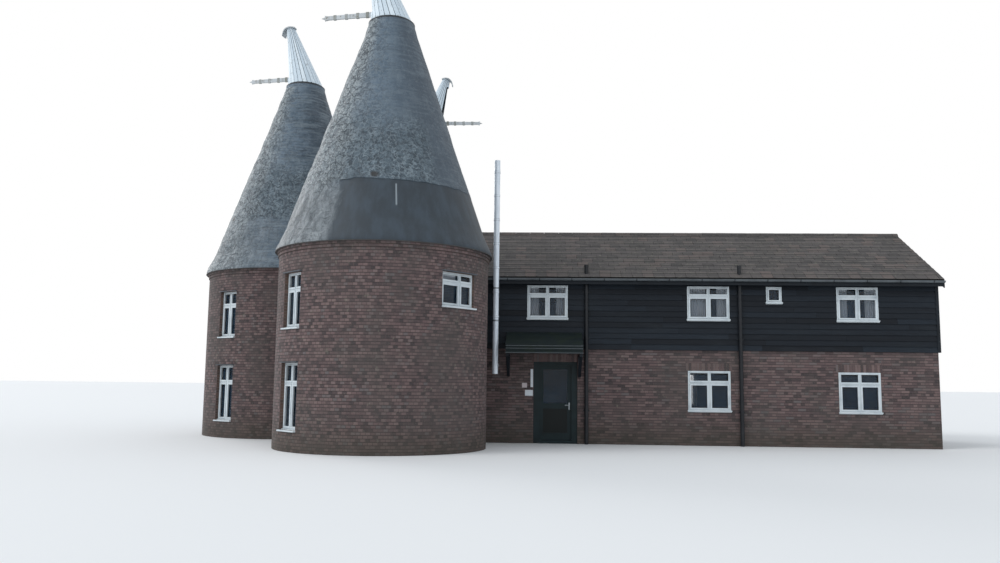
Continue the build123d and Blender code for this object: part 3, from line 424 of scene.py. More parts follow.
def kiln_roof_material(name, centre, patched, coursed, stain_azimuth):
    """Dark grey coating over the tiled courses: crazed, crumpled, streaked and smooth low down, with painted light: a
    pale lit left flank, painted highlights and shade on the crazing and crumples, a painted shaded right side and a
    painted shadow under the cowl.
    """
    look = Look(name, 0.6)
    place = look.place
    x, y, z = split(stretched(place, (1, 1, 1), (-centre.x, -centre.y, 0)))
    turn = maths("ARCTAN2", y, x)

    def facing(azimuth):
        return maths("COSINE", turn - math.radians(azimuth))

    uneven = cloud(place, 1.5, 5) - 0.5
    streaks = cloud(stretched(place, (1, 1, 0.22)), 4, 6, 0.62)
    speckle = cloud(place, 13, 6, 0.7)
    lines = cloud(stretched(place, (1, 1, 9)), 1.6, 4, 0.6)
    foil = cloud(stretched(place, (1, 1, 0.8)), 6.5, 7, 0.66, 2.6)
    wide_net = net(warped(place, 3.2, 0.5), 4.6)
    stroke_net = net(warped(place, 3.6, 0.55), 5.8)
    tight_net = net(warped(place, 5.0, 0.2), 10)

    # Where each kind of surface lies
    ragged = uneven * 0.5
    up = z + ragged
    flank = rise(facing(-160) + ragged, 0.5, 0.86)
    band = rise(up, 6.3, 6.5) * (1 - rise(up, 7.5, 8.6)) * rise(facing(-85), 0.7, 0.86)
    low = 1 - rise(z + uneven * 0.22, 6.4, 6.44)
    patch = low * rise(facing(-40) + (streaks - 0.5) * 0.26, 0.34, 0.4) * patched
    rough = 1 - patch * 0.92
    washed = (1 - rise(up, 5.9, 6.7)) * rise(facing(-160), 0.2, 0.62) * (0.35 + 0.45 * patched)
    turning = rise(facing(-160), -0.1, 0.6)
    # Painted highlights: pale lines along the ridges of the crazing net
    highlight_strokes = 1 - rise(stroke_net, 0.03, 0.12)
    gaps = 1 - rise(wide_net, 0.02, 0.09)

    # Colours, from the plainest surface to the most broken one
    plain = layered(
        mixed(rise(uneven, -0.2, 0.2), (79, 97, 112), (95, 113, 129)),
        # Painted shade: darker on the side turned away from the light, towards azimuth -20
        (rise(facing(-20), 0.35, 0.95), (70, 83, 95)),
        (rise(streaks, 0.45, 0.75) * 0.4, (116, 129, 138)),
        (rise(lines, 0.5, 0.62) * coursed, (112, 124, 132)),
        ((1 - rise(lines, 0.36, 0.46)) * coursed, (62, 72, 81)),
        (rise(speckle, 0.52, 0.66) * 0.45, (114, 127, 136)),
    )
    # Crumpled band: paler scales of coating, with painted highlights on the crests and painted shade in the troughs
    crumpled = layered(
        shades(
            foil,
            (0.36, 66, 79, 89),
            (0.46, 88, 103, 113),
            (0.52, 106, 122, 132),
            (0.6, 80, 94, 104),
            (0.7, 122, 137, 146),
        ),
        (gaps * 0.85, (54, 65, 74)),
        (highlight_strokes * rise(streaks, 0.35, 0.6) * 0.8, (146, 160, 168)),
    )
    # Real crazing with painted light: the left flank's cells are made pale as the lit side
    crazed = layered(
        mixed(rise(speckle, 0.4, 0.62), (108, 118, 124), (150, 158, 161)),
        (highlight_strokes * 0.85, (188, 194, 194)),
        ((1 - rise(tight_net, 0.02, 0.1)) * 0.6, (82, 91, 98)),
        (gaps * 0.75, (56, 63, 69)),
    )
    wash = mixed(rise(streaks, 0.42, 0.7), (94, 101, 106), (156, 162, 166))
    smooth = mixed(rise(streaks, 0.35, 0.7), (38, 49, 58), (51, 64, 75))

    # A pale run on the patched roof, and a dark stain as small as a fist
    off_run = maths("ABSOLUTE", turn - math.radians(-74.5))
    run = (1 - rise(off_run, 0.006, 0.01)) * rise(z, 5.74, 5.8) * (1 - rise(z, 6.3, 6.34)) * (0.75 * patched)
    sideways = (turn - math.radians(stain_azimuth)) * 2.2
    upwards = (z - 6.55) * 1.3
    stain = (1 - rise(sideways * sideways + upwards * upwards, 0.003, 0.016)) * 0.85
    tint = layered(
        plain,
        (band * 0.9, crumpled),
        (flank * 0.9, crazed),
        (gaps * turning * 0.5, (62, 71, 79)),
        # Painted highlights along the crazing, fading round from the left flank
        (highlight_strokes * turning * 0.4, (126, 138, 146)),
        (washed, wash),
        (patch, smooth),
        (run, (150, 160, 166)),
        (stain, (52, 50, 50)),
        # Painted shadow: the curb's rim darkened under the cowl's foot
        (rise(z, CONE_TOP_Z + 0.035, CONE_TOP_Z + 0.045), (34, 40, 46)),
    )

    normal = bump(maths("MINIMUM", wide_net, 0.14) * (rough * (flank * 0.8 + 0.35)), 1.0, 0.12)
    normal = bump(foil * (band + 0.35) * rough, 0.9, 0.06, normal)
    normal = bump(lines * rough * coursed, 0.8, 0.03, normal)
    return look.wired(Base_Color=tint, Normal=bump(cloud(place, 55), 0.4, 0.006, normal))


def painted_boards_material(name, clean, dirty, bare):
    """Painted boards: grain, dirt in streaks down them and paint gone in places."""
    look = Look(name, 0.55)
    grain = cloud(stretched(look.place, (9, 9, 0.6)), 6, 5)
    streaks = cloud(stretched(look.place, (5, 5, 0.5)), 2, 5)
    tint = layered(
        mixed(look.tone(), clean, dirty),
        (rise(streaks, 0.45, 0.7) * 0.6, dirty),
        (rise(cloud(look.place, 14, 6), 0.6, 0.68) * 0.8, bare),
    )
    return look.wired(Base_Color=tint, Normal=bump(grain, 0.3, 0.004))


def weatherboard_material(name):
    """Black stained boards with grain along them, bleached a little where the stain has gone."""
    look = Look(name, 0.6, Specular_IOR_Level=0.2)
    grain = cloud(stretched(look.place, (0.7, 0.7, 16)), 5, 6, 0.65)
    patches = cloud(stretched(look.place, (0.5, 0.5, 2)), 1.6)
    tint = layered(
        mixed(look.tone(), (19, 24, 31), (33, 41, 50)),
        (between(patches, 0.5, 0.8, 0, 0.4), (50, 57, 63)),
        (between(grain, 0.35, 0.55, 0.5, 0), (12, 14, 18)),
    )
    return look.wired(Base_Color=tint, Normal=bump(grain, 0.4, 0.004))


def tile_material(name):
    """Old roof tiles: each its own shade, with soot, lichen, a dark line of dirt and painted shadow above each
    course's tail, and painted highlights on the tails.
    """
    look = Look(name, 0.85)
    place = look.place
    shade = shades(look.tone(), (0.0, 68, 65, 65), (0.35, 78, 74, 74), (0.75, 86, 81, 80), (1.0, 97, 86, 83))
    below_ridge = (RIDGE_Z - split(place)[2]) / math.sin(PITCH)
    course = maths("FRACT", (below_ridge - (EAVES_Y / math.cos(PITCH) - 0.008)) / TILE_GAUGE)
    tint = layered(
        shade,
        (between(cloud(place, 0.8, 5), 0.4, 0.75, 0, 0.5), (58, 58, 55)),
        (between(cloud(place, 12, 6), 0.6, 0.68, 0, 0.5), (118, 118, 102)),
        # Dirt and painted shadow: a dark strip on each course where the tail of the course above shades it
        ((1 - rise(course, 0.1, 0.3)) * 0.8, (34, 34, 34)),
        # Painted highlight: a pale line where the tails catch the light
        (rise(course, 0.84, 0.9) * rise(cloud(place, 2.2, 3), 0.35, 0.6) * 0.7, (118, 112, 106)),
    )
    return look.wired(Base_Color=tint, Normal=bump(cloud(place, 45), 0.5, 0.005))


def brushed_bump(place, strength):
    """Brush marks down a painted face."""
    return bump(cloud(stretched(place, (1, 1, 0.2)), 60, 2), strength, 0.002)


def paint_material(name, main, second, roughness=0.4, grain=0.15, shine=0.5):
    """Brushed paint on joinery, with faint unevenness and dirt."""
    look = Look(name, roughness, Specular_IOR_Level=shine)
    tint = mixed(between(cloud(look.place, 3, 6), 0.45, 0.75), main, second)
    return look.wired(Base_Color=tint, Normal=brushed_bump(look.place, grain))


def curtain_material(name):
    """Thin pale cloth with a fine weave and soft folds of light."""
    look = Look(name, 0.9, Sheen_Weight=0.2)
    threads = node(
        look.tree, "TexWave", {"bands_direction": "X"}, Vector=look.place, Scale=60.0, Distortion=1.0
    )
    weave = Value(threads, "Fac")
    worn = mixed(cloud(look.place, 4, 3), (226, 229, 232), (200, 206, 212))
    return look.wired(Base_Color=mixed(weave * 0.25, worn, (180, 186, 194)), Normal=bump(weave, 0.2, 0.002))


def door_material(name):
    """Dark teal joinery with a nearly black lower panel."""
    look = Look(name, 0.4, Specular_IOR_Level=0.2)
    x, _, z = split(look.place)
    across = rise(x, 4.128, 4.132) * (1 - rise(x, 4.808, 4.812))
    panel = across * rise(z, 0.29, 0.295) * (1 - rise(z, 0.955, 0.96))
    worn = mixed(rise(cloud(look.place, 3, 6), 0.4, 0.7), (24, 40, 44), (18, 31, 34))
    tint = mixed(panel * 0.85, worn, (10, 15, 16))
    return look.wired(Base_Color=tint, Normal=brushed_bump(look.place, 0.15))


def timber_material(name, light, dark):
    """Bare weathered timber with grain."""
    look = Look(name, 0.8)
    grain = cloud(stretched(look.place, (4, 4, 0.7)), 7, 6, 0.65, 0.6)
    return look.wired(Base_Color=mixed(grain, dark, light), Normal=bump(grain, 0.5, 0.006))


def metal_material(name, main, second, roughness, metallic):
    """Sheet metal with a dull bloom and rain marks."""
    look = Look(name, roughness, Metallic=metallic)
    marks = cloud(stretched(look.place, (6, 6, 0.8)), 3, 5)
    limits = {"From_Min": 0.3, "From_Max": 0.8, "To_Min": roughness * 0.8, "To_Max": roughness * 1.3}
    return look.wired(
        Base_Color=mixed(between(marks, 0.4, 0.8), main, second),
        Roughness=Value(node(look.tree, "MapRange", Value=marks, **limits), "Result"),
        Normal=bump(cloud(look.place, 25, 3), 0.08, 0.003),
    )


def glass_material(name):
    """Window glass: dark and reflecting, a little wavy, and part see-through."""
    look = Look(name, 0.03, Alpha=0.3, Specular_IOR_Level=0.5)
    return look.wired(
        Base_Color=mixed(cloud(look.place, 0.9, 2), (24, 40, 56), (62, 84, 104)),
        Normal=bump(cloud(look.place, 1.2, 0), 0.05, 0.01),
    )


def concrete_material(name, light, dark):
    """Floors inside the house."""
    look = Look(name, 0.85)
    return look.wired(
        Base_Color=mixed(cloud(look.place, 2, 6), dark, light), Normal=bump(cloud(look.place, 50, 3), 0.2, 0.003)
    )


LOOKS = {
    "straight_bricks": (brick_material, flat_wall_vector, BRICK_LENGTH),
    "laid_bricks": (laid_brick_material,),
    "cowl_boards": (painted_boards_material, (236, 246, 252), (206, 220, 230), (160, 164, 164)),
    # Painted shade: the backing's dark paint stands for the shadow seen through the gaps between the boards
    "cowl_joint_shade": (painted_boards_material, (62, 72, 80), (52, 60, 68), (50, 50, 48)),
    "vane_boards": (painted_boards_material, (200, 205, 208), (142, 144, 138), (120, 108, 92)),
    "weatherboards": (weatherboard_material,),
    "tiles": (tile_material,),
    "white_frames": (paint_material, (214, 222, 226), (186, 196, 202)),
    "black_timber": (paint_material, (28, 34, 41), (20, 24, 29), 0.5, 0.4, 0.2),
    "canopy_boards": (paint_material, (30, 40, 42), (38, 48, 40), 0.65, 0.5, 0.2),
    "door_paint": (door_material,),
    "net_curtain": (curtain_material,),
    "oak": (timber_material, (120, 108, 92), (66, 56, 46)),
    "floor_boards": (timber_material, (150, 122, 90), (108, 82, 56)),
    "cap_metal": (metal_material, (182, 188, 192), (146, 152, 156), 0.5, 0.2),
    "flue_steel": (metal_material, (232, 240, 248), (208, 218, 228), 0.5, 0.25),
    "band_steel": (metal_material, (150, 158, 164), (110, 118, 124), 0.4, 0.7),
    "black_pipe": (paint_material, (26, 29, 34), (40, 43, 47), 0.35, 0.1, 0.3),
    "grey_gutter": (paint_material, (98, 104, 108), (74, 79, 83), 0.4, 0.1, 0.3),
    "lead": (paint_material, (92, 98, 104), (74, 80, 86), 0.6, 0.25, 0.3),
    "notice": (paint_material, (220, 226, 232), (196, 204, 212), 0.5, 0.05),
    "pink_notice": (paint_material, (206, 196, 198), (186, 176, 178), 0.5, 0.05),
    "glass": (glass_material,),
    "concrete": (concrete_material, (158, 154, 146), (118, 114, 108)),
}
for kiln_name, patched, coursed, stain_azimuth in (
    ("front", 1.0, 0.3, -88),
    ("left", 0.0, 0.75, -141),
    ("back", 0.0, 0.5, 100),
):
    kiln_centre = KILNS[kiln_name][0]
    header = 2 * math.pi * KILN_RADIUS / HEADERS_ROUND
    LOOKS[kiln_name + "_kiln_bricks"] = (brick_material, round_wall_vector(kiln_centre), header)
    LOOKS[kiln_name + "_kiln_roof"] = (kiln_roof_material, kiln_centre, patched, coursed, stain_azimuth)
MATERIALS = {name: maker(name, *values) for name, (maker, *values) in LOOKS.items()}


# Mesh helpers


def mark(bm, verts, value):
    """Gives the faces of some vertices their own shade."""
    layer = bm.faces.layers.float.get("tone") or bm.faces.layers.float.new("tone")
    for face in {face for vert in verts for face in vert.link_faces}:
        face[layer] = value


def add_block(bm, low, high, place=None, shade=None):
    """Box between two corners, put in place by a matrix."""
    low, high = Vector(low), Vector(high)
    sides = Matrix.Diagonal((*(high - low), 1))
    where = (place or Matrix.Identity(4)) @ Matrix.Translation((low + high) / 2) @ sides
    made = bmesh.ops.create_cube(bm, size=1, matrix=where)
    mark(bm, made["verts"], random.random() if shade is None else shade)


def round_edges(bm, width, segments=1):
    """Bevels every edge."""
    bmesh.ops.bevel(
        bm, geom=bm.edges[:], offset=width, segments=segments, affect="EDGES", profile=0.5, material=-1
    )


def add_drum(bm, radius, low, high, centre):
    """Upright cylinder between two heights."""
    where = Matrix.Translation((centre[0], centre[1], (low + high) / 2))
    made = bmesh.ops.create_cone(
        bm, cap_ends=True, segments=32, radius1=radius, radius2=radius, depth=high - low, matrix=where
    )
    mark(bm, made["verts"], 0.5)


def add_drum_along_x(bm, radius, x0, x1, y, z):
    """Short cylinder lying along X."""
    place = Matrix.Translation(((x0 + x1) / 2, y, z)) @ Matrix.Rotation(math.pi / 2, 4, "Y")
    made = bmesh.ops.create_cone(
        bm, cap_ends=True, segments=24, radius1=radius, radius2=radius, depth=x1 - x0, matrix=place
    )
    mark(bm, made["verts"], 0.5)


def outline_edges(bm, centre, points):
    """Closed outline of (radius, height) points beside a centre."""
    verts = [bm.verts.new((centre.x + radius, centre.y, z)) for radius, z in points]
    return verts + [bm.edges.new(pair) for pair in zip(verts, verts[1:] + verts[:1])]


def turn_round(bm, geometry, centre, steps):
    """Sweeps edges once round an upright axis."""
    bmesh.ops.spin(
        bm,
        geom=geometry,
        cent=centre,
        axis=(0, 0, 1),
        angle=2 * math.pi,
        steps=steps,
        use_merge=True,
        use_duplicate=False,
    )


def slice_off(bm, spot, normal, filled=True):
    """Removes what lies beyond a plane, and closes solids at the cut."""
    made = bmesh.ops.bisect_plane(
        bm,
        geom=bm.verts[:] + bm.edges[:] + bm.faces[:],
        dist=0.0001 if filled else 0.0002,
        plane_co=spot,
        plane_no=normal,
        clear_outer=True,
    )
    if filled:
        rims = [item for item in made["geom_cut"] if isinstance(item, bmesh.types.BMEdge)]
        bmesh.ops.holes_fill(bm, edges=rims, sides=0)


def turned(angle, x, y, z=0.0):
    """Matrix of a place turned about the upright axis."""
    return Matrix.Translation((x, y, z)) @ Matrix.Rotation(angle, 4, "Z")


def turn_outward(bm, facing):
    """Turns every face of an open sheet to the side that a function of its place gives."""
    bm.normal_update()
    wrong = [face for face in bm.faces if face.normal.dot(facing(face.calc_center_median())) < 0]
    bmesh.ops.reverse_faces(bm, faces=wrong)


def finish_piece(name, bm, material, body=HOUSE, crease=35, replaced=(), facing=None):
    """Makes the object: outward faces, sharp edges kept, material and body."""
    if facing is None:
        bmesh.ops.recalc_face_normals(bm, faces=bm.faces[:])
    else:
        turn_outward(bm, facing)
    limit = math.radians(crease)
    for edge in bm.edges:
        edge.smooth = len(edge.link_faces) == 2 and edge.calc_face_angle() < limit
    for face in bm.faces:
        face.smooth = True
    mesh = bpy.data.meshes.new(name)
    bm.to_mesh(mesh)
    bm.free()
    mesh.materials.append(MATERIALS[material])
    made = bpy.data.objects.new(name, mesh)
    bpy.context.scene.collection.objects.link(made)
    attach(made, body)
    if replaced:
        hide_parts(*replaced)
    return made


def dress(node_name, material):
    """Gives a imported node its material."""
    mesh = NODES[node_name].data
    mesh.materials.clear()
    mesh.materials.append(MATERIALS[material])


# Kiln roofs


def cone_radius(z):
    """Outer radius of a kiln roof at a height."""
    if z < SPROCKET_Z:
        reach = cone_radius(SPROCKET_Z)
        return reach + (EAVES_RADIUS - reach) * (SPROCKET_Z - z) / (SPROCKET_Z - EAVES_LIP_Z)
    share = (CONE_TOP_Z - z) / (CONE_TOP_Z - KILN_WALL_TOP)
    kick = SPROCKET_KICK * (CONE_TOP_Z - z) / (CONE_TOP_Z - SPROCKET_Z)
    return CONE_TOP_RADIUS + (EAVES_RADIUS - CONE_TOP_RADIUS) * share - kick


def roof_profile():
    """Stepped outside of the courses, then the smooth inside, as radius and height."""
    points = [(EAVES_RADIUS, KILN_WALL_TOP), (EAVES_RADIUS, EAVES_LIP_Z)]
    count = round((CONE_TOP_Z - EAVES_LIP_Z) / COURSE)
    for index in range(1, count):
        z = EAVES_LIP_Z + (CONE_TOP_Z - EAVES_LIP_Z) * index / count
        points.append((cone_radius(z), z - 0.006))
        points.append((cone_radius(z) + TILE_TAIL, z))
    points.append((CONE_TOP_RADIUS, CONE_TOP_Z))
    points.append((CONE_TOP_RADIUS - CONE_LEVEL_WALL, CONE_TOP_Z))
    points.append((cone_radius(SPROCKET_Z) - CONE_LEVEL_WALL, SPROCKET_Z))
    points.append((EAVES_RADIUS - SPROCKET_KICK - CONE_LEVEL_WALL, KILN_WALL_TOP))
    return points


def smooth_share(name, away, z):
    """How far the courses are hidden at a place: wholly on the front kiln's patch."""
    azimuth = math.degrees(math.atan2(away.y, away.x))
    patched = name == "front" and z < 6.42 and -108 < azimuth < 28
    near_top = max(0, min(1, (z - (CONE_TOP_Z - APRON_DEPTH - 0.3)) / 0.3))
    return max(0.95 if patched else 0, near_top)


def kiln_roof(name, centre):
    """Roof of hidden tiles under a thick uneven coating."""
    bm = bmesh.new()
    turn_round(bm, outline_edges(bm, centre, roof_profile()), centre, ROOF_SEGMENTS)
    bmesh.ops.remove_doubles(bm, verts=bm.verts[:], dist=0.0005)
    for vert in bm.verts:
        place = vert.co.copy()
        away = Vector((place.x - centre.x, place.y - centre.y, 0))
        excess = away.length - cone_radius(place.z)
        if place.z < KILN_WALL_TOP + 2 * EAVES_LIP or excess < -0.05:
            continue
        swell = 0.016 * max(0, min(1, (place.z - (CONE_TOP_Z - APRON_DEPTH - 0.2)) / 0.2))
        calm = smooth_share(name, away, place.z)
        flank = max(0, math.cos(math.atan2(away.y, away.x) - math.radians(-160)))
        lump = noise.fractal(place * 1.3, 1.0, 2.0, 3) * 0.01
        crumple = noise.noise(place * 3.1) * (0.008 + 0.016 * flank)
        ripple = noise.noise(Vector((place.x * 5, place.y * 5, place.z * 9))) * 0.006
        worn = max(calm, 0.75 if name == "front" else 0.4)
        outward = -excess * worn + (lump + crumple + ripple) * (1 - calm)
        vert.co += away.normalized() * (outward + swell)
        vert.co.z += noise.noise(place * 2.3) * 0.014 * (1 - calm)
    mark(bm, bm.verts, 0.5)
    roof = name + "_kiln_roof"
    finish_piece(name + "_roof_coating", bm, roof, crease=50, replaced=[roof])


def eaves_rings():
    """Dark edge of the tiles that shows under each coating, made dark to stand for the shadow under the eaves."""
    bm = bmesh.new()
    inner, outer = EAVES_RADIUS - 0.09, EAVES_RADIUS + 0.012
    low, high = KILN_WALL_TOP - 0.018, KILN_WALL_TOP - 0.0015
    for centre, _ in KILNS.values():
        outline = [(inner, low), (outer, low), (outer, high), (inner, high)]
        turn_round(bm, outline_edges(bm, centre, outline), centre, 144)
    # Real tile edges, their dark shade painted as the shadow under the eaves
    mark(bm, bm.verts, 0.1)
    finish_piece("eaves_tile_edges", bm, "tiles")


# Cowls


def cowl_corner(index, share, inset):
    """Corner between two cowl boards, at a share of the cowl's height."""
    radius = COWL_BASE_RADIUS + (COWL_TOP_RADIUS - COWL_BASE_RADIUS) * share - inset
    angle = 2 * math.pi * index / COWL_BOARDS
    x = COWL_LEAN * share + radius * math.cos(angle)
    return Vector((x, radius * math.sin(angle), COWL_FOOT_Z + COWL_HEIGHT * share))


def add_cowl_board(bm, place, index, foot, head, depth=0.0, thickness=COWL_BOARD_DEPTH, groove=COWL_GROOVE):
    """One tapered upright board between two shares of the height."""
    verts = []
    for share in (foot, head):
        radius = COWL_BASE_RADIUS + (COWL_TOP_RADIUS - COWL_BASE_RADIUS) * share
        gap = groove * COWL_BOARDS / (2 * math.pi * radius)
        for inset in (depth, depth + thickness):
            for edge in (index + gap, index + 1 - gap):
                verts.append(bm.verts.new(place @ cowl_corner(edge, share, inset)))
    made = bmesh.ops.convex_hull(bm, input=verts)
    mark(bm, verts, random.random())
    inside = [item for item in made["geom_interior"] if isinstance(item, bmesh.types.BMVert)]
    bmesh.ops.delete(bm, geom=inside, context="VERTS")


def cowl(name, centre, angle):
    """Cowl of upright boards with a dark backing behind the joints, painted dark as the shade in the gaps."""
    place = turned(angle, *centre)
    first = COWL_OPEN_BOARDS // 2
    base = COWL_BASE_BAND / COWL_HEIGHT
    top = 1 - COWL_TOP_BAND / COWL_HEIGHT
    boards = bmesh.new()
    # Dark backing whose colour is painted shade in the board joints
    backing = bmesh.new()
    for index in range(COWL_BOARDS):
        closed = first <= index < COWL_BOARDS - first
        for foot, head in [(0, 1)] if closed else [(0, base), (top, 1)]:
            add_cowl_board(boards, place, index, foot, head)
            add_cowl_board(backing, place, index, foot, head, COWL_BOARD_DEPTH - 0.006, 0.012, -0.001)
    for bm in (boards, backing):
        bmesh.ops.join_triangles(bm, faces=bm.faces[:], angle_face_threshold=0.1, angle_shape_threshold=3.1)
        trim_to_cap(bm, place)
    round_edges(boards, 0.003)
    body = name + "_cowl"
    finish_piece(name + "_cowl_boards", boards, "cowl_boards", body, replaced=[name + "_cowl_shell"])
    finish_piece(name + "_cowl_backing", backing, "cowl_joint_shade", body)
    vane_straps(name, place)


def trim_to_cap(bm, place):
    """Cuts the boards' heads to the arch of the cap."""
    start = COWL_FOOT_Z + COWL_HEIGHT
    reach = COWL_TOP_RADIUS + CAP_REACH
    points = []
    for step in range(CAP_STEPS + 1):
        angle = math.pi / 2 * step / CAP_STEPS
        droop = CAP_DROOP * (1 - math.cos(angle))
        points.append(Vector((COWL_LEAN + reach * math.sin(angle), 0, start - droop)))
    for low, high in zip(points[1:], points):
        along = (high - low).normalized()
        out = Vector((-along.z, 0, along.x))
        if out.z < 0:
            out.negate()
        slice_off(bm, place @ low, place.to_3x3() @ out)


def vane_straps(name, place):
    """Cleats across the vane arm."""
    low, high = COWL_FOOT_Z + COWL_BASE_BAND, COWL_FOOT_Z + COWL_BASE_BAND + 0.145
    bm = bmesh.new()
    for reach, taper, shade in ((0.66, 0.008, 1.0), (0.94, 0.01, 0.8), (1.27, 0.013, 0.5), (1.6, 0.018, 0.7)):
        start = (reach, -0.029, low + taper - 0.014)
        add_block(bm, start, (reach + 0.085, 0.029, high - taper + 0.014), place, shade)
    round_edges(bm, 0.004)
    finish_piece(name + "_vane_cleats", bm, "vane_boards", name + "_cowl")


# Windows


def add_sash(bm, place, left, right, foot, head, front, depth, bar):
    """Four bars of one sash, the uprights running through."""
    for y in (left, right - bar):
        add_block(bm, (front - depth, y, foot), (front, y + bar, head), place, 0.3)
    for z in (foot, head - bar):
        add_block(bm, (front - depth, left + bar, z), (front, right - bar, z + bar), place, 0.3)


def add_window(bm, place, width, sill, head, middle=0.0):
    """Casement window: frame, mullion, and in each light a fanlight over a casement."""
    half = width / 2
    bar = 0.036
    post = 0.034
    inner = bar + 0.003
    add_sash(bm, place, -half, half, sill, head, 0, FRAME_DEPTH, bar)
    lights = [(-half + bar, half - bar)]
    if width > 0.6:
        lights = [(-half + bar, middle - post / 2), (middle + post / 2, half - bar)]
        add_block(
            bm, (-FRAME_DEPTH, middle - post / 2, sill + bar), (0, middle + post / 2, head - bar), place, 0.3
        )
    transom = head - 0.32 * (head - sill)
    for left, right in lights:
        near, far = left + 0.003, right - 0.003
        if head - sill < 0.6:
            add_sash(bm, place, near, far, sill + inner, head - inner, 0.014, 0.04, 0.04)
            continue
        add_block(bm, (-FRAME_DEPTH, left, transom), (0, right, transom + 0.03), place, 0.3)
        add_sash(bm, place, near, far, sill + inner, transom - 0.003, 0.014, 0.04, 0.045)
        add_sash(bm, place, near, far, transom + 0.033, head - inner, 0.014, 0.04, 0.022)
        add_block(bm, (-0.026, near + 0.02, transom + 0.05), (0.01, far - 0.02, transom + 0.083), place, 0.3)
    add_block(bm, (-0.01, -half - 0.02, sill - 0.012), (0.045, half + 0.02, sill + 0.02), place, 0.3)


def window_inset():
    """Distance of a kiln window's front face from the kiln's centre."""
    widest = max(window[1] for windows in KILN_WINDOWS.values() for window in windows)
    return math.sqrt(KILN_RADIUS**2 - (widest / 2) ** 2) - KILN_FRAME_INSET


def window_places():
    """Every window: its group, the matrix of its front face, width, sill and head."""
    places = []
    inset = window_inset()
    for name, windows in KILN_WINDOWS.items():
        centre = KILNS[name][0]
        for angle, width, sill, head in windows:
            place = turned(math.radians(angle), *centre) @ Matrix.Translation((inset, 0, 0))
            places.append(("kiln_casements", place, width, sill, head))
    for left, width, sill, head in UPPER_WINDOWS + LOWER_WINDOWS:
        face = (BOARD_FACE if sill > BRICK_TOP else HALF_WIDTH) + FRAME_PROUD
        for group, angle, sign in (("front_casements", -90, -1), ("back_casements", 90, 1)):
            place = turned(math.radians(angle), left + width / 2, sign * face)
            places.append((group, place, width, sill, head))
    return places


def windows():
    """White casements in three groups."""
    for group in ("kiln_casements", "front_casements", "back_casements"):
        bm = bmesh.new()
        for owner, place, width, sill, head in window_places():
            if owner == group:
                high_kiln_window = group == "kiln_casements" and width > 1
                add_window(bm, place, width, sill, head, MULLION_SHIFT if high_kiln_window else 0.0)
        round_edges(bm, 0.0025)
        finish_piece(group, bm, "white_frames", replaced=["window_frames"])


def brick_arches():
    """Upright bricks over the openings in the stowage's brick walls."""
    bm = bmesh.new()
    for left, width, head, signs in arch_openings():
        count = math.ceil((width + 2 * ARCH_SIDE) / COURSE_HEIGHT)
        for sign in signs:
            for index in range(count):
                x = left + width / 2 + (index - (count - 1) / 2) * COURSE_HEIGHT
                low, high = sorted((sign * (HALF_WIDTH - 0.08), sign * (HALF_WIDTH + 0.007)))
                add_block(bm, (x - 0.0325, low, head), (x + 0.0325, high, head + ARCH_HEIGHT))
    round_edges(bm, 0.004)
    finish_piece("brick_arches", bm, "laid_bricks")


def arch_openings():
    """Left edge, width, head and sides of the house of each opening under an arch."""
    arches = [(left, width, head, (-1, 1)) for left, width, _, head in LOWER_WINDOWS]
    return arches + [(DOORWAY[0], DOORWAY[1] - DOORWAY[0], DOORWAY[2], (-1,))]


def window_drips():
    """Thin leaded drip over each kiln window."""
    bm = bmesh.new()
    for group, place, width, _, head in window_places():
        if group == "kiln_casements":
            reach = KILN_RADIUS - window_inset() + 0.035
            half = width / 2 + 0.03
            add_block(bm, (-0.02, -half, head + 0.004), (reach, half, head + 0.024), place, 0.5)
    round_edges(bm, 0.004)
    finish_piece("window_drips", bm, "lead")


def curtains():
    """Net curtains on rods in the upper windows: drawn back at the front, nearly closed at the back."""
    rods = bmesh.new()
    drops = []
    for number, (left, width, sill, head) in enumerate(UPPER_WINDOWS[:3]):
        for side, y in (("front", -BOARD_FACE + 0.1), ("back", BOARD_FACE - 0.1)):
            add_drum_along_x(rods, 0.007, left + 0.006, left + width - 0.006, y, head - 0.045)
            half = width / 2 - 0.04
            across = (half, half) if side == "back" else (0.5 if number == 1 else 0.3, 0.3)
            starts = (left + 0.03, left + width - 0.03 - across[1])
            for half_name, start, reach in zip(("left", "right"), starts, across):
                drops.append((f"{side}_curtain_{number + 1}_{half_name}", start, reach, y, sill + 0.04, head - 0.052))
    finish_piece("curtain_rods", rods, "white_frames")
    for name, start, across, y, low, high in drops:
        hang_curtain(name, start, across, y, low, high)


def hang_blind():
    """Pale blind behind the left fanlight of the front kiln's high window."""
    angle, width, _, head = KILN_WINDOWS["front"][0]
    turn = turned(math.radians(angle), *KILNS["front"][0])
    place = turn @ Matrix.Translation((window_inset() - 0.09, 0, 0))
    roll = bmesh.new()
    end = MULLION_SHIFT - 0.02
    add_block(roll, (-0.012, -width / 2 + 0.01, head - 0.04), (0.012, end, head - 0.016), place, 0.3)
    round_edges(roll, 0.004, 2)
    finish_piece("blind_rail", roll, "white_frames")
    bm = bmesh.new()
    drop, across = 0.25, width / 2 + end - 0.04
    middle = Vector((0, (end - width / 2) / 2, head - 0.042 - drop / 2))
    shape = Matrix.Rotation(math.pi / 2, 4, "Y") @ Matrix.Diagonal((drop, across, 1, 1))
    bmesh.ops.create_grid(bm, x_segments=6, y_segments=8, size=0.5, matrix=place @ Matrix.Translation(middle) @ shape)
    mark(bm, bm.verts, 0.5)
    outward = turn.to_3x3() @ Vector((1, 0, 0))
    made = finish_piece("kiln_window_blind", bm, "net_curtain", facing=lambda spot: outward, crease=80)


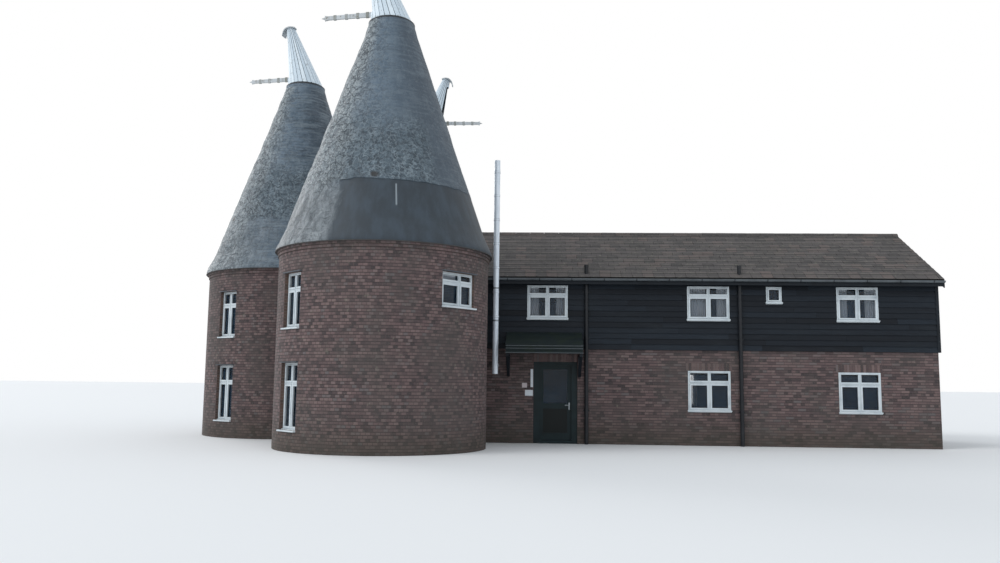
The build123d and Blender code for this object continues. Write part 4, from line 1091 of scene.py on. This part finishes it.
def hang_curtain(name, start, across, y, low, high):
    """One gathered curtain: a sheet folded in soft waves that spread towards its foot."""
    bm = bmesh.new()
    columns = 56
    middle = Vector((start + across / 2, y, (low + high) / 2))
    shape = Matrix.Diagonal((across, 1, high - low, 1)) @ Matrix.Rotation(math.pi / 2, 4, "X")
    bmesh.ops.create_grid(bm, x_segments=columns, y_segments=10, size=0.5, matrix=Matrix.Translation(middle) @ shape)
    folds = round(across / 0.06)
    for vert in bm.verts:
        share = (vert.co.x - start) / across
        drop = (high - vert.co.z) / (high - low)
        swing = math.sin(2 * math.pi * folds * share + 0.5 * math.sin(3 * drop + 5 * share))
        vert.co.y += swing * (0.012 + 0.006 * drop)
    mark(bm, bm.verts, 0.5)
    made = finish_piece(name, bm, "net_curtain", facing=lambda spot: Vector((0, -1, 0)), crease=80)
    high - low


# Bricks laid one by one


def point_bricks(bm, facing):
    """Raises each brick's face out of the mortar round it."""
    turn_outward(bm, facing)
    layer = bm.faces.layers.float.new("tone")
    for face in bm.faces:
        face[layer] = random.random()
    large = [face for face in bm.faces if face.calc_area() > 0.002]
    made = bmesh.ops.inset_individual(
        bm, faces=large, thickness=JOINT_HALF, depth=BRICK_RELIEF, use_even_offset=True
    )
    kept = set(large)
    for face in made["faces"]:
        if face not in kept:
            level = abs(face.calc_center_median().z - min(vert.co.z for vert in face.verts)) < 0.02
            face[layer] = -1 if level else -0.7


def cut_opening(bm, place, left, right, low, high):
    """Cuts a rectangular hole; the matrix puts its sides along Y and Z."""
    back = place.inverted()
    turn = place.to_3x3()

    def inside(face, beside=0.0, above=0.0):
        spot = back @ face.calc_center_median()
        return left - beside < spot.y < right + beside and low - above < spot.z < high + above and spot.x > 0

    upright = [((0, left, 0), (0, 1, 0), 0.12), ((0, right, 0), (0, 1, 0), 0.12)]
    level = [((0, 0, low), (0, 0, 1), 0.0), ((0, 0, high), (0, 0, 1), 0.0)]
    for spot, normal, beside in upright + level:
        geometry = {face for face in bm.faces if inside(face, beside, 0.12)}
        for face in list(geometry):
            geometry.update(face.edges)
            geometry.update(face.verts)
        cut = {"plane_co": place @ Vector(spot), "plane_no": turn @ Vector(normal)}
        bmesh.ops.bisect_plane(bm, geom=list(geometry), dist=0.0005, **cut)
    bmesh.ops.delete(bm, geom=[face for face in bm.faces if inside(face)], context="FACES")


def round_bricks(name, centre):
    """Courses of headers round a kiln, stepping out under the eaves."""
    bm = bmesh.new()
    top = KILN_WALL_TOP - 2 * COURSE_HEIGHT
    count = round(top / COURSE_HEIGHT)
    courses = [(top * i / count, top * (i + 1) / count, KILN_RADIUS) for i in range(count)]
    courses.append((top, top + COURSE_HEIGHT, KILN_RADIUS + CORBEL_STEP))
    courses.append((top + COURSE_HEIGHT, KILN_WALL_TOP, KILN_RADIUS + 2 * CORBEL_STEP))
    geometry = []
    for index, (low, high, radius) in enumerate(courses):
        angle = math.pi / HEADERS_ROUND * (index % 2)
        reach = radius + SKIN_GAP
        spot = centre + Vector((reach * math.cos(angle), reach * math.sin(angle), 0))
        verts = [bm.verts.new((spot.x, spot.y, low)), bm.verts.new((spot.x, spot.y, high))]
        geometry += verts + [bm.edges.new(verts)]
    turn_round(bm, geometry, centre, HEADERS_ROUND)
    bmesh.ops.remove_doubles(bm, verts=bm.verts[:], dist=0.0002)
    cut = {
        "front": ((0, -HALF_WIDTH, 0), (0, 1, 0)),
        "back": ((0, HALF_WIDTH, 0), (0, -1, 0)),
        "left": ((STOWAGE_LEFT, 0, 0), (1, 0, 0)),
    }
    slice_off(bm, *cut[name], filled=False)
    for angle, width, sill, head in KILN_WINDOWS[name]:
        cut_opening(bm, turned(math.radians(angle), *centre), -width / 2, width / 2, sill, head)

    def facing(spot):
        return Vector((spot.x, spot.y, 0)) - centre

    point_bricks(bm, facing)
    finish_piece(name + "_kiln_brickwork", bm, "laid_bricks", facing=facing, crease=20)


def flat_bricks(name, place, left, right, top, holes, kept=None):
    """Bonded courses on a straight wall; the matrix puts the wall along Y with its face towards X."""
    bm = bmesh.new()
    count = round(top / COURSE_HEIGHT)
    height = top / count
    for index in range(count):
        length = BRICK_LENGTH / 2 if index % 4 == 3 else BRICK_LENGTH
        start = left - length * (0.5 * (index % 2) + 0.25)
        number = math.ceil((right - start) / length)
        middle = Vector((SKIN_GAP, start + number * length / 2, (index + 0.5) * height))
        shape = Matrix.Diagonal((1, number * length, height, 1)) @ Matrix.Rotation(math.pi / 2, 4, "Y")
        bmesh.ops.create_grid(
            bm, x_segments=1, y_segments=number, size=0.5, matrix=place @ Matrix.Translation(middle) @ shape
        )
    turn = place.to_3x3()
    for side, normal in ((left, (0, -1, 0)), (right, (0, 1, 0))):
        slice_off(bm, place @ Vector((0, side, 0)), turn @ Vector(normal), filled=False)
    for hole in holes:
        cut_opening(bm, place, *hole)
    if kept:
        gone = [face for face in bm.faces if not kept(face.calc_center_median())]
        bmesh.ops.delete(bm, geom=gone, context="FACES")

    def facing(spot):
        return turn @ Vector((1, 0, 0))

    point_bricks(bm, facing)
    finish_piece(name, bm, "laid_bricks", facing=facing, crease=20)


def brickwork():
    """Bricks on every brick wall that shows."""
    for name, (centre, _) in KILNS.items():
        round_bricks(name, centre)
    windows = [(left, left + width, sill, head) for left, width, sill, head in LOWER_WINDOWS]
    arches = []
    for left, width, head, _ in arch_openings():
        arches.append((left - ARCH_SIDE, left + width + ARCH_SIDE, head, head + ARCH_HEIGHT))
    doorway = (DOORWAY[0], DOORWAY[1], 0.0, DOORWAY[2])
    mirrored = [(-b, -a, low, high) for a, b, low, high in windows + arches[:-1]]
    quarter = math.pi / 2
    front, back = turned(-quarter, 0, -HALF_WIDTH), turned(quarter, 0, HALF_WIDTH)
    flat_bricks("front_brickwork", front, KILN_EDGE, STOWAGE_RIGHT, BRICK_TOP, windows + arches + [doorway])
    flat_bricks("back_brickwork", back, -STOWAGE_RIGHT, -KILN_EDGE - BACK_KILN_X, BRICK_TOP, mirrored)
    right, left = turned(0, STOWAGE_RIGHT, 0), turned(math.pi, STOWAGE_LEFT, 0)
    flat_bricks("right_end_brickwork", right, -HALF_WIDTH, HALF_WIDTH, BRICK_TOP, [])

    def under_roof(spot):
        return spot.z < gable_line(spot.y) and not inside_kiln_roof(spot, -0.02)

    flat_bricks("left_end_brickwork", left, -HALF_WIDTH, HALF_WIDTH, GABLE_TOP, [], under_roof)


def gable_line(y):
    """Height of the roof's underside on a gable."""
    return GABLE_TOP - math.tan(PITCH) * abs(y)


# Weatherboards


def board_strips(x0, x1, z0, z1, holes):
    """Parts of one board's face left round the window holes, as x and z ranges."""
    strips = [(x0, x1, z0, z1)]
    for left, right, sill, head in holes:
        kept = []
        for a, b, low, high in strips:
            if right <= a or left >= b or head <= low or sill >= high:
                kept.append((a, b, low, high))
                continue
            if a < left:
                kept.append((a, left, low, high))
            if b > right:
                kept.append((right, b, low, high))
            if low < sill:
                kept.append((max(a, left), min(b, right), low, sill))
            if high > head:
                kept.append((max(a, left), min(b, right), head, high))
        strips = kept
    return strips


def add_lapped_board(bm, place, x0, x1, z0, z1, foot_z, shade):
    """Feather-edged board, leaning so that its foot covers the board below."""
    lean = (BOARD_THICKNESS + 0.006) / BOARD_EXPOSURE
    low_depth = lean * (BOARD_EXPOSURE - (z0 - foot_z)) + 0.004
    high_depth = max(lean * (BOARD_EXPOSURE - (z1 - foot_z)), 0) + 0.004
    verts = []
    for x in (x0, x1):
        for y, z in ((0, z0), (-low_depth, z0), (-high_depth, z1), (0, z1)):
            verts.append(bm.verts.new(place @ Vector((x, y, z))))
    bm.faces.new(verts[:4])
    bm.faces.new(verts[4:])
    for one, two in ((0, 1), (1, 2), (2, 3), (3, 0)):
        bm.faces.new((verts[one], verts[two], verts[two + 4], verts[one + 4]))
    mark(bm, verts, shade)


def board_wall(name, place, x0, x1, z0, top_at, holes):
    """Wall of lapped boards with butt joints at random places."""
    bm = bmesh.new()
    foot = z0
    while foot < top_at((x0 + x1) / 2) - 0.02:
        start = x0
        while start < x1:
            end = start + random.uniform(2.2, 4.2)
            if x1 - end < 0.8:
                end = x1
            shade = random.random()
            head = min(foot + BOARD_EXPOSURE, top_at((x0 + x1) / 2))
            for a, b, low, high in board_strips(start, end, foot, head, holes):
                for left, right in clipped(a, b, low, high, top_at):
                    add_lapped_board(bm, place, left + 0.0015, right - 0.0015, low, high, foot, shade)
            start = end
        foot += BOARD_EXPOSURE
    finish_piece(name, bm, "weatherboards", crease=20)


def clipped(a, b, low, high, top_at):
    """Range of a board that lies under the roof line."""
    if top_at(a) >= high and top_at(b) >= high:
        return [(a, b)]
    steps = 60
    inside = [a + (b - a) * i / steps for i in range(steps + 1) if top_at(a + (b - a) * i / steps) >= high - 0.06]
    return [(inside[0], inside[-1])] if len(inside) > 1 else []


def weatherboards():
    """Boards on the front, the back and the right gable."""
    holes = [(left, left + width, sill - 0.01, head) for left, width, sill, head in UPPER_WINDOWS]
    back_holes = [(-b, -a, low, high) for a, b, low, high in holes]
    kiln_edge = math.sqrt(KILN_RADIUS**2 - (SIDE_KILN_Y - BOARD_FACE - 0.02) ** 2)
    right = STOWAGE_RIGHT + 0.03

    def eaves_line(x):
        return BOARD_TOP

    front, back = turned(0, 0, -BOARD_FACE), turned(math.pi, 0, BOARD_FACE)
    board_wall("front_weatherboards", front, kiln_edge, right, BRICK_TOP, eaves_line, holes)
    board_wall("back_weatherboards", back, -right, -kiln_edge, BRICK_TOP, eaves_line, back_holes)
    gable = turned(math.pi / 2, right, 0)
    board_wall("gable_weatherboards", gable, -BOARD_FACE, BOARD_FACE, BRICK_TOP, gable_line, [])
    corner_posts(right)


def corner_posts(right):
    """Upright corner boards at the stowage's right end."""
    bm = bmesh.new()
    for sign in (-1, 1):
        low, high = sorted((sign * (BOARD_FACE - 0.06), sign * (BOARD_FACE + 0.028)))
        add_block(bm, (right - 0.06, low, BRICK_TOP), (right + 0.028, high, BOARD_TOP - 0.02))
    round_edges(bm, 0.003)
    finish_piece("corner_boards", bm, "black_timber")


# Roof of the stowage


def inside_kiln_roof(point, margin):
    """Whether a point lies inside a kiln's roof or wall."""
    for centre, _ in KILNS.values():
        reach = math.hypot(point.x - centre.x, point.y - centre.y)
        if point.z < KILN_WALL_TOP:
            limit = KILN_RADIUS + 0.06
        else:
            limit = cone_radius(min(point.z, CONE_TOP_Z))
        if reach < limit - margin:
            return True
    return False


def tiled_slope(name, sign):
    """Ribbed tiles, each laid by itself, in courses from the eaves to the ridge."""
    bm = bmesh.new()
    length = EAVES_Y / math.cos(PITCH)
    courses = int(length / TILE_GAUGE)
    tilt = math.asin(TILE_THICKNESS / TILE_GAUGE)
    down = Vector((0, sign * math.cos(PITCH), -math.sin(PITCH)))
    normal = Vector((0, sign * math.sin(PITCH), math.cos(PITCH)))
    turn = Matrix((Vector((1, 0, 0)), down, normal)).transposed().to_4x4()
    for course in range(courses + 1):
        tail = length - course * TILE_GAUGE + 0.03
        x = VERGE_LEFT + 0.5 * TILE_WIDTH * (course % 2)
        while x < VERGE_RIGHT:
            width = min(TILE_WIDTH, VERGE_RIGHT - x)
            middle = tail - TILE_LENGTH / 2
            spot = Vector((x + width / 2, 0, RIDGE_Z)) + down * (tail - TILE_GAUGE / 2)
            if not inside_kiln_roof(spot, 0.03) and middle > 0 and width > 0.04:
                place = Matrix.Translation(Vector((x + width / 2, 0, RIDGE_Z)) + down * middle + normal * 0.0195)
                lift = Matrix.Rotation(-tilt + random.uniform(-0.006, 0.012), 4, "X")
                skew = Matrix.Rotation(random.uniform(-0.012, 0.012), 4, "Z")
                half = (width - 0.003) / 2
                low = (-half, -TILE_LENGTH / 2, -TILE_THICKNESS / 2)
                high = (half, TILE_LENGTH / 2 + random.uniform(-0.003, 0.003), TILE_THICKNESS / 2)
                where = place @ turn @ lift @ skew
                shade = random.random()
                add_block(bm, low, high, where, shade)
                rib = ((-half, low[1] + 0.1, 0.004), (-half + 0.034, high[1] - 0.002, 0.0145))
                add_block(bm, *rib, where, shade)
            x += width
    round_edges(bm, 0.003)
    finish_piece(name, bm, "tiles", crease=40)


def ridge():
    """Half-round ridge tiles, bedded end to end."""
    bm = bmesh.new()
    length = 0.45
    x = STOWAGE_LEFT + 0.16
    while x < VERGE_RIGHT - 0.05:
        end = min(x + length, VERGE_RIGHT)
        place = Matrix.Translation(((x + end) / 2, 0, RIDGE_Z - 0.055)) @ Matrix.Rotation(math.pi / 2, 4, "Y")
        made = bmesh.ops.create_cone(
            bm,
            cap_ends=True,
            segments=28,
            radius1=0.13 + random.uniform(-0.002, 0.003),
            radius2=0.13,
            depth=end - x - 0.008,
            matrix=place,
        )
        mark(bm, made["verts"], random.random())
        x = end
    slice_off(bm, (0, 0, RIDGE_Z - 0.075), (0, 0, -1))
    finish_piece("ridge_tiles_laid", bm, "tiles", replaced=["ridge_tiles"])


# Entrance and flue


def canopy_boards():
    """Boards across the canopy's slope, mouldings on its fascia and pale trims on them."""
    left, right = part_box("entrance_canopy")[0].x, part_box("entrance_canopy")[1].x
    wall = Vector((0, -BOARD_FACE - 0.02, CANOPY_WALL_Z))
    front = Vector((0, -BOARD_FACE - CANOPY_REACH, CANOPY_FRONT_Z))
    run = front - wall
    tilt = math.atan2(-run.z, -run.y)
    bm = bmesh.new()
    half = run.length / CANOPY_BOARDS / 2 + 0.012
    for index in range(CANOPY_BOARDS):
        middle = wall + run * (index + 0.5) / CANOPY_BOARDS
        place = Matrix.Translation(middle + Vector((0, 0, 0.012))) @ Matrix.Rotation(tilt, 4, "X")
        add_block(bm, (left - 0.02, -half, -0.009), (right + 0.02, half, 0.009), place)
    for z in (front.z, front.z - 0.075, front.z - 0.15):
        add_block(bm, (left - 0.015, front.y - 0.018, z - 0.066), (right + 0.015, front.y + 0.01, z - 0.004))
    round_edges(bm, 0.003)
    finish_piece("canopy_boarding", bm, "canopy_boards")
    trims = bmesh.new()
    for z in CANOPY_TRIMS_Z:
        add_block(trims, (left - 0.02, front.y - 0.028, z - 0.007), (right + 0.02, front.y - 0.016, z + 0.007))
    round_edges(trims, 0.002)
    finish_piece("canopy_trims", trims, "grey_gutter")


def notices():
    """Two bare notice plates and a narrow strip beside the door."""
    face = -HALF_WIDTH
    plates = {
        "square_notice": ("pink_notice", 3.61, 1.6, 0.14, 0.13),
        "wide_notice": ("notice", 3.735, 1.39, 0.22, 0.16),
        "narrow_notice": ("notice", 3.812, 1.8, 0.07, 0.5),
    }
    for name, (material, x, z, width, height) in plates.items():
        bm = bmesh.new()
        low = (x - width / 2, face - 0.016, z - height / 2)
        add_block(bm, low, (x + width / 2, face + 0.002, z + height / 2), None, 0.4)
        round_edges(bm, 0.002)
        finish_piece(name, bm, material)


def door_handle():
    """Lever handle on its plate, outside and inside."""
    bm = bmesh.new()
    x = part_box("entrance_door")[1].x - 0.055
    plate = ((-0.02, 0, 0.93), (0.02, 0.008, 1.13))
    stem = ((-0.008, 0, 1.05), (0.008, 0.05, 1.066))
    lever = ((-0.12, 0.038, 1.048), (0.01, 0.052, 1.068))
    for front, sign in DOOR_FACES:
        for low, high in (plate, stem, lever):
            near, far = sorted((front + sign * low[1], front + sign * high[1]))
            add_block(bm, (x + low[0], near, low[2]), (x + high[0], far, high[2]), None, 0.5)
    round_edges(bm, 0.003, 2)
    finish_piece("door_handle", bm, "band_steel", "entrance_door_leaf")


def flue_seams():
    """Dark joint under each locking band of the flue."""
    low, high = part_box("flue")
    bm = bmesh.new()
    z = high.z - FLUE_SECTION / 2
    while z > low.z + 1.4:
        for edge in (-0.0265, 0.0225):
            add_drum(bm, FLUE_BAND_RADIUS, z + edge, z + edge + 0.004, (FLUE_X, FLUE_Y))
        z -= FLUE_SECTION
    finish_piece("flue_seams", bm, "band_steel")


def pipe_collars():
    """Couplings and brackets on the soil pipes, and a collar at their heads."""
    bm = bmesh.new()
    y = -(BOARD_FACE + 0.055)
    for x in SOIL_PIPES_X:
        for z in SOIL_PIPE_SOCKETS_Z:
            add_drum(bm, 0.064, z, z + 0.06, (x, y))
            add_block(bm, (x - 0.09, y + 0.03, z + 0.015), (x + 0.09, -HALF_WIDTH, z + 0.045), None, 0.5)
        add_drum(bm, 0.061, 4.93, 5.0, (x, y))
    finish_piece("pipe_collars", bm, "black_pipe")


def gutter_brackets():
    """Brackets that hold the gutters, under the eaves."""
    bm = bmesh.new()
    low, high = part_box("gutters")
    for sign in (-1, 1):
        y = sign * (high.y - 0.058)
        x = 2.2
        while x < high.x:
            add_drum_along_x(bm, 0.0605, x, x + 0.025, y, high.z)
            x += GUTTER_BRACKET_GAP
    slice_off(bm, (0, 0, high.z - 0.004), (0, 0, 1))
    finish_piece("gutter_brackets", bm, "black_pipe")


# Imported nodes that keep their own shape


def dress_nodes():
    """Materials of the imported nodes."""
    for name in KILNS:
        dress(name + "_kiln_wall", name + "_kiln_bricks")
        dress(name + "_kiln_window_bays", name + "_kiln_bricks")
        dress(name + "_kiln_roof", name + "_kiln_roof")
        dress(name + "_cowl_shell", "cowl_boards")
        dress(name + "_cowl_cap", "cap_metal")
        dress(name + "_cowl_post", "oak")
        dress(name + "_vane_arm", "vane_boards")
    plain = {
        "straight_bricks": [
            "front_wall_left_of_door",
            "front_wall_over_door",
            "front_wall_right_of_door",
            "back_wall",
            "left_end_wall",
            "right_end_wall",
        ],
        "weatherboards": ["front_boarded_wall", "back_boarded_wall", "right_boarded_gable"],
        "tiles": ["front_roof_slope", "back_roof_slope", "ridge_tiles"],
        "white_frames": ["window_frames", "window_sills"],
        "glass": ["window_glass", "entrance_door_glass"],
        "oak": ["cowl_foot_beams"],
        "front_kiln_roof": ["cowl_curbs"],
        "black_timber": ["eaves_fascias", "barge_boards", "canopy_brackets"],
        "canopy_boards": ["entrance_canopy"],
        "black_pipe": ["vent_pipes"],
        "grey_gutter": ["gutters"],
        "door_paint": ["entrance_frame", "entrance_door"],
        "flue_steel": ["flue"],
        "band_steel": ["flue_straps"],
        "concrete": ["kiln_ground_floors", "stowage_ground_floor"],
        "floor_boards": ["kiln_upper_floors", "stowage_upper_floor"],
    }
    for material, names in plain.items():
        for name in names:
            dress(name, material)


# Stage: floor, lights and camera


def make_floor():
    """Pale floor."""
    bm = bmesh.new()
    bmesh.ops.create_grid(bm, x_segments=1, y_segments=1, size=400)
    mesh = bpy.data.meshes.new("floor")
    bm.to_mesh(mesh)
    bm.free()
    mesh.materials.append(Look("floor", 0.9, Base_Color=(0.86, 0.86, 0.86, 1)).material)
    floor = bpy.data.objects.new("floor", mesh)
    floor.location.z = -0.002
    bpy.context.scene.collection.objects.link(floor)


def make_world():
    """White to the camera and in reflections, and a soft even sky for light."""
    world = bpy.data.worlds.new("sky")
    world.use_nodes = True
    bpy.context.scene.world = world
    tree = world.node_tree
    tree.nodes.clear()
    path = node(tree, "LightPath")
    seen = maths("MAXIMUM", Value(path, "Is Camera Ray"), Value(path, "Is Glossy Ray"))
    seen = maths("MAXIMUM", seen, Value(path, "Is Transmission Ray"))
    light = node(tree, "Background", Color=(0.86, 0.93, 1.0, 1), Strength=0.7)
    white = node(tree, "Background", Color=(1, 1, 1, 1), Strength=1.0)
    both = node(tree, "MixShader")
    for index, value in enumerate((seen, Value(light), Value(white))):
        plug(both.inputs[index], value)
    node(tree, "OutputWorld", Surface=Value(both))


def make_lamp(name, azimuth, elevation, strength, spread):
    """Soft sun from a direction: azimuth 0 shines from the front, 90 from the right."""
    lamp = bpy.data.lights.new(name, "SUN")
    lamp.energy = strength
    lamp.angle = math.radians(spread)
    made = bpy.data.objects.new(name, lamp)
    a, e = math.radians(azimuth), math.radians(elevation)
    towards = Vector((math.sin(a) * math.cos(e), -math.cos(a) * math.cos(e), math.sin(e)))
    made.rotation_euler = towards.to_track_quat("Z", "Y").to_euler()
    bpy.context.scene.collection.objects.link(made)


def make_camera():
    """Camera at the photographer's place."""
    data = bpy.data.cameras.new("camera")
    data.sensor_width = SENSOR
    data.lens = FOCAL_PIXELS / PHOTO_WIDTH * SENSOR
    data.clip_end = 1000
    forward = Vector(
        (
            math.sin(CAMERA_YAW) * math.cos(CAMERA_PITCH),
            math.cos(CAMERA_YAW) * math.cos(CAMERA_PITCH),
            math.sin(CAMERA_PITCH),
        )
    )
    level = Vector((math.cos(CAMERA_YAW), -math.sin(CAMERA_YAW), 0))
    upward = level.cross(forward)
    right = level * math.cos(CAMERA_ROLL) + upward * math.sin(CAMERA_ROLL)
    up = upward * math.cos(CAMERA_ROLL) - level * math.sin(CAMERA_ROLL)
    made = bpy.data.objects.new("camera", data)
    turn = Matrix((right, up, -forward)).transposed().to_4x4()
    made.matrix_world = Matrix.Translation(CAMERA_PLACE) @ turn
    bpy.context.scene.collection.objects.link(made)
    bpy.context.scene.camera = made


# The scene

bpy.context.scene.view_settings.view_transform = "Standard"
make_camera()
make_world()
make_floor()
make_lamp("window_side", -60, 38, 0.9, 30)
make_lamp("front_fill", 25, 30, 0.2, 60)
make_lamp("left_edge", -135, 18, 0.9, 30)
dress_nodes()
for kiln_name, (kiln_centre, cowl_angle) in KILNS.items():
    kiln_roof(kiln_name, kiln_centre)
    cowl(kiln_name, kiln_centre, cowl_angle)
windows()
brick_arches()
flue_seams()
window_drips()
curtains()
hang_blind()
brickwork()
eaves_rings()
weatherboards()
tiled_slope("front_tiles", -1)
tiled_slope("back_tiles", 1)
ridge()
canopy_boards()
notices()
door_handle()
pipe_collars()
gutter_brackets()
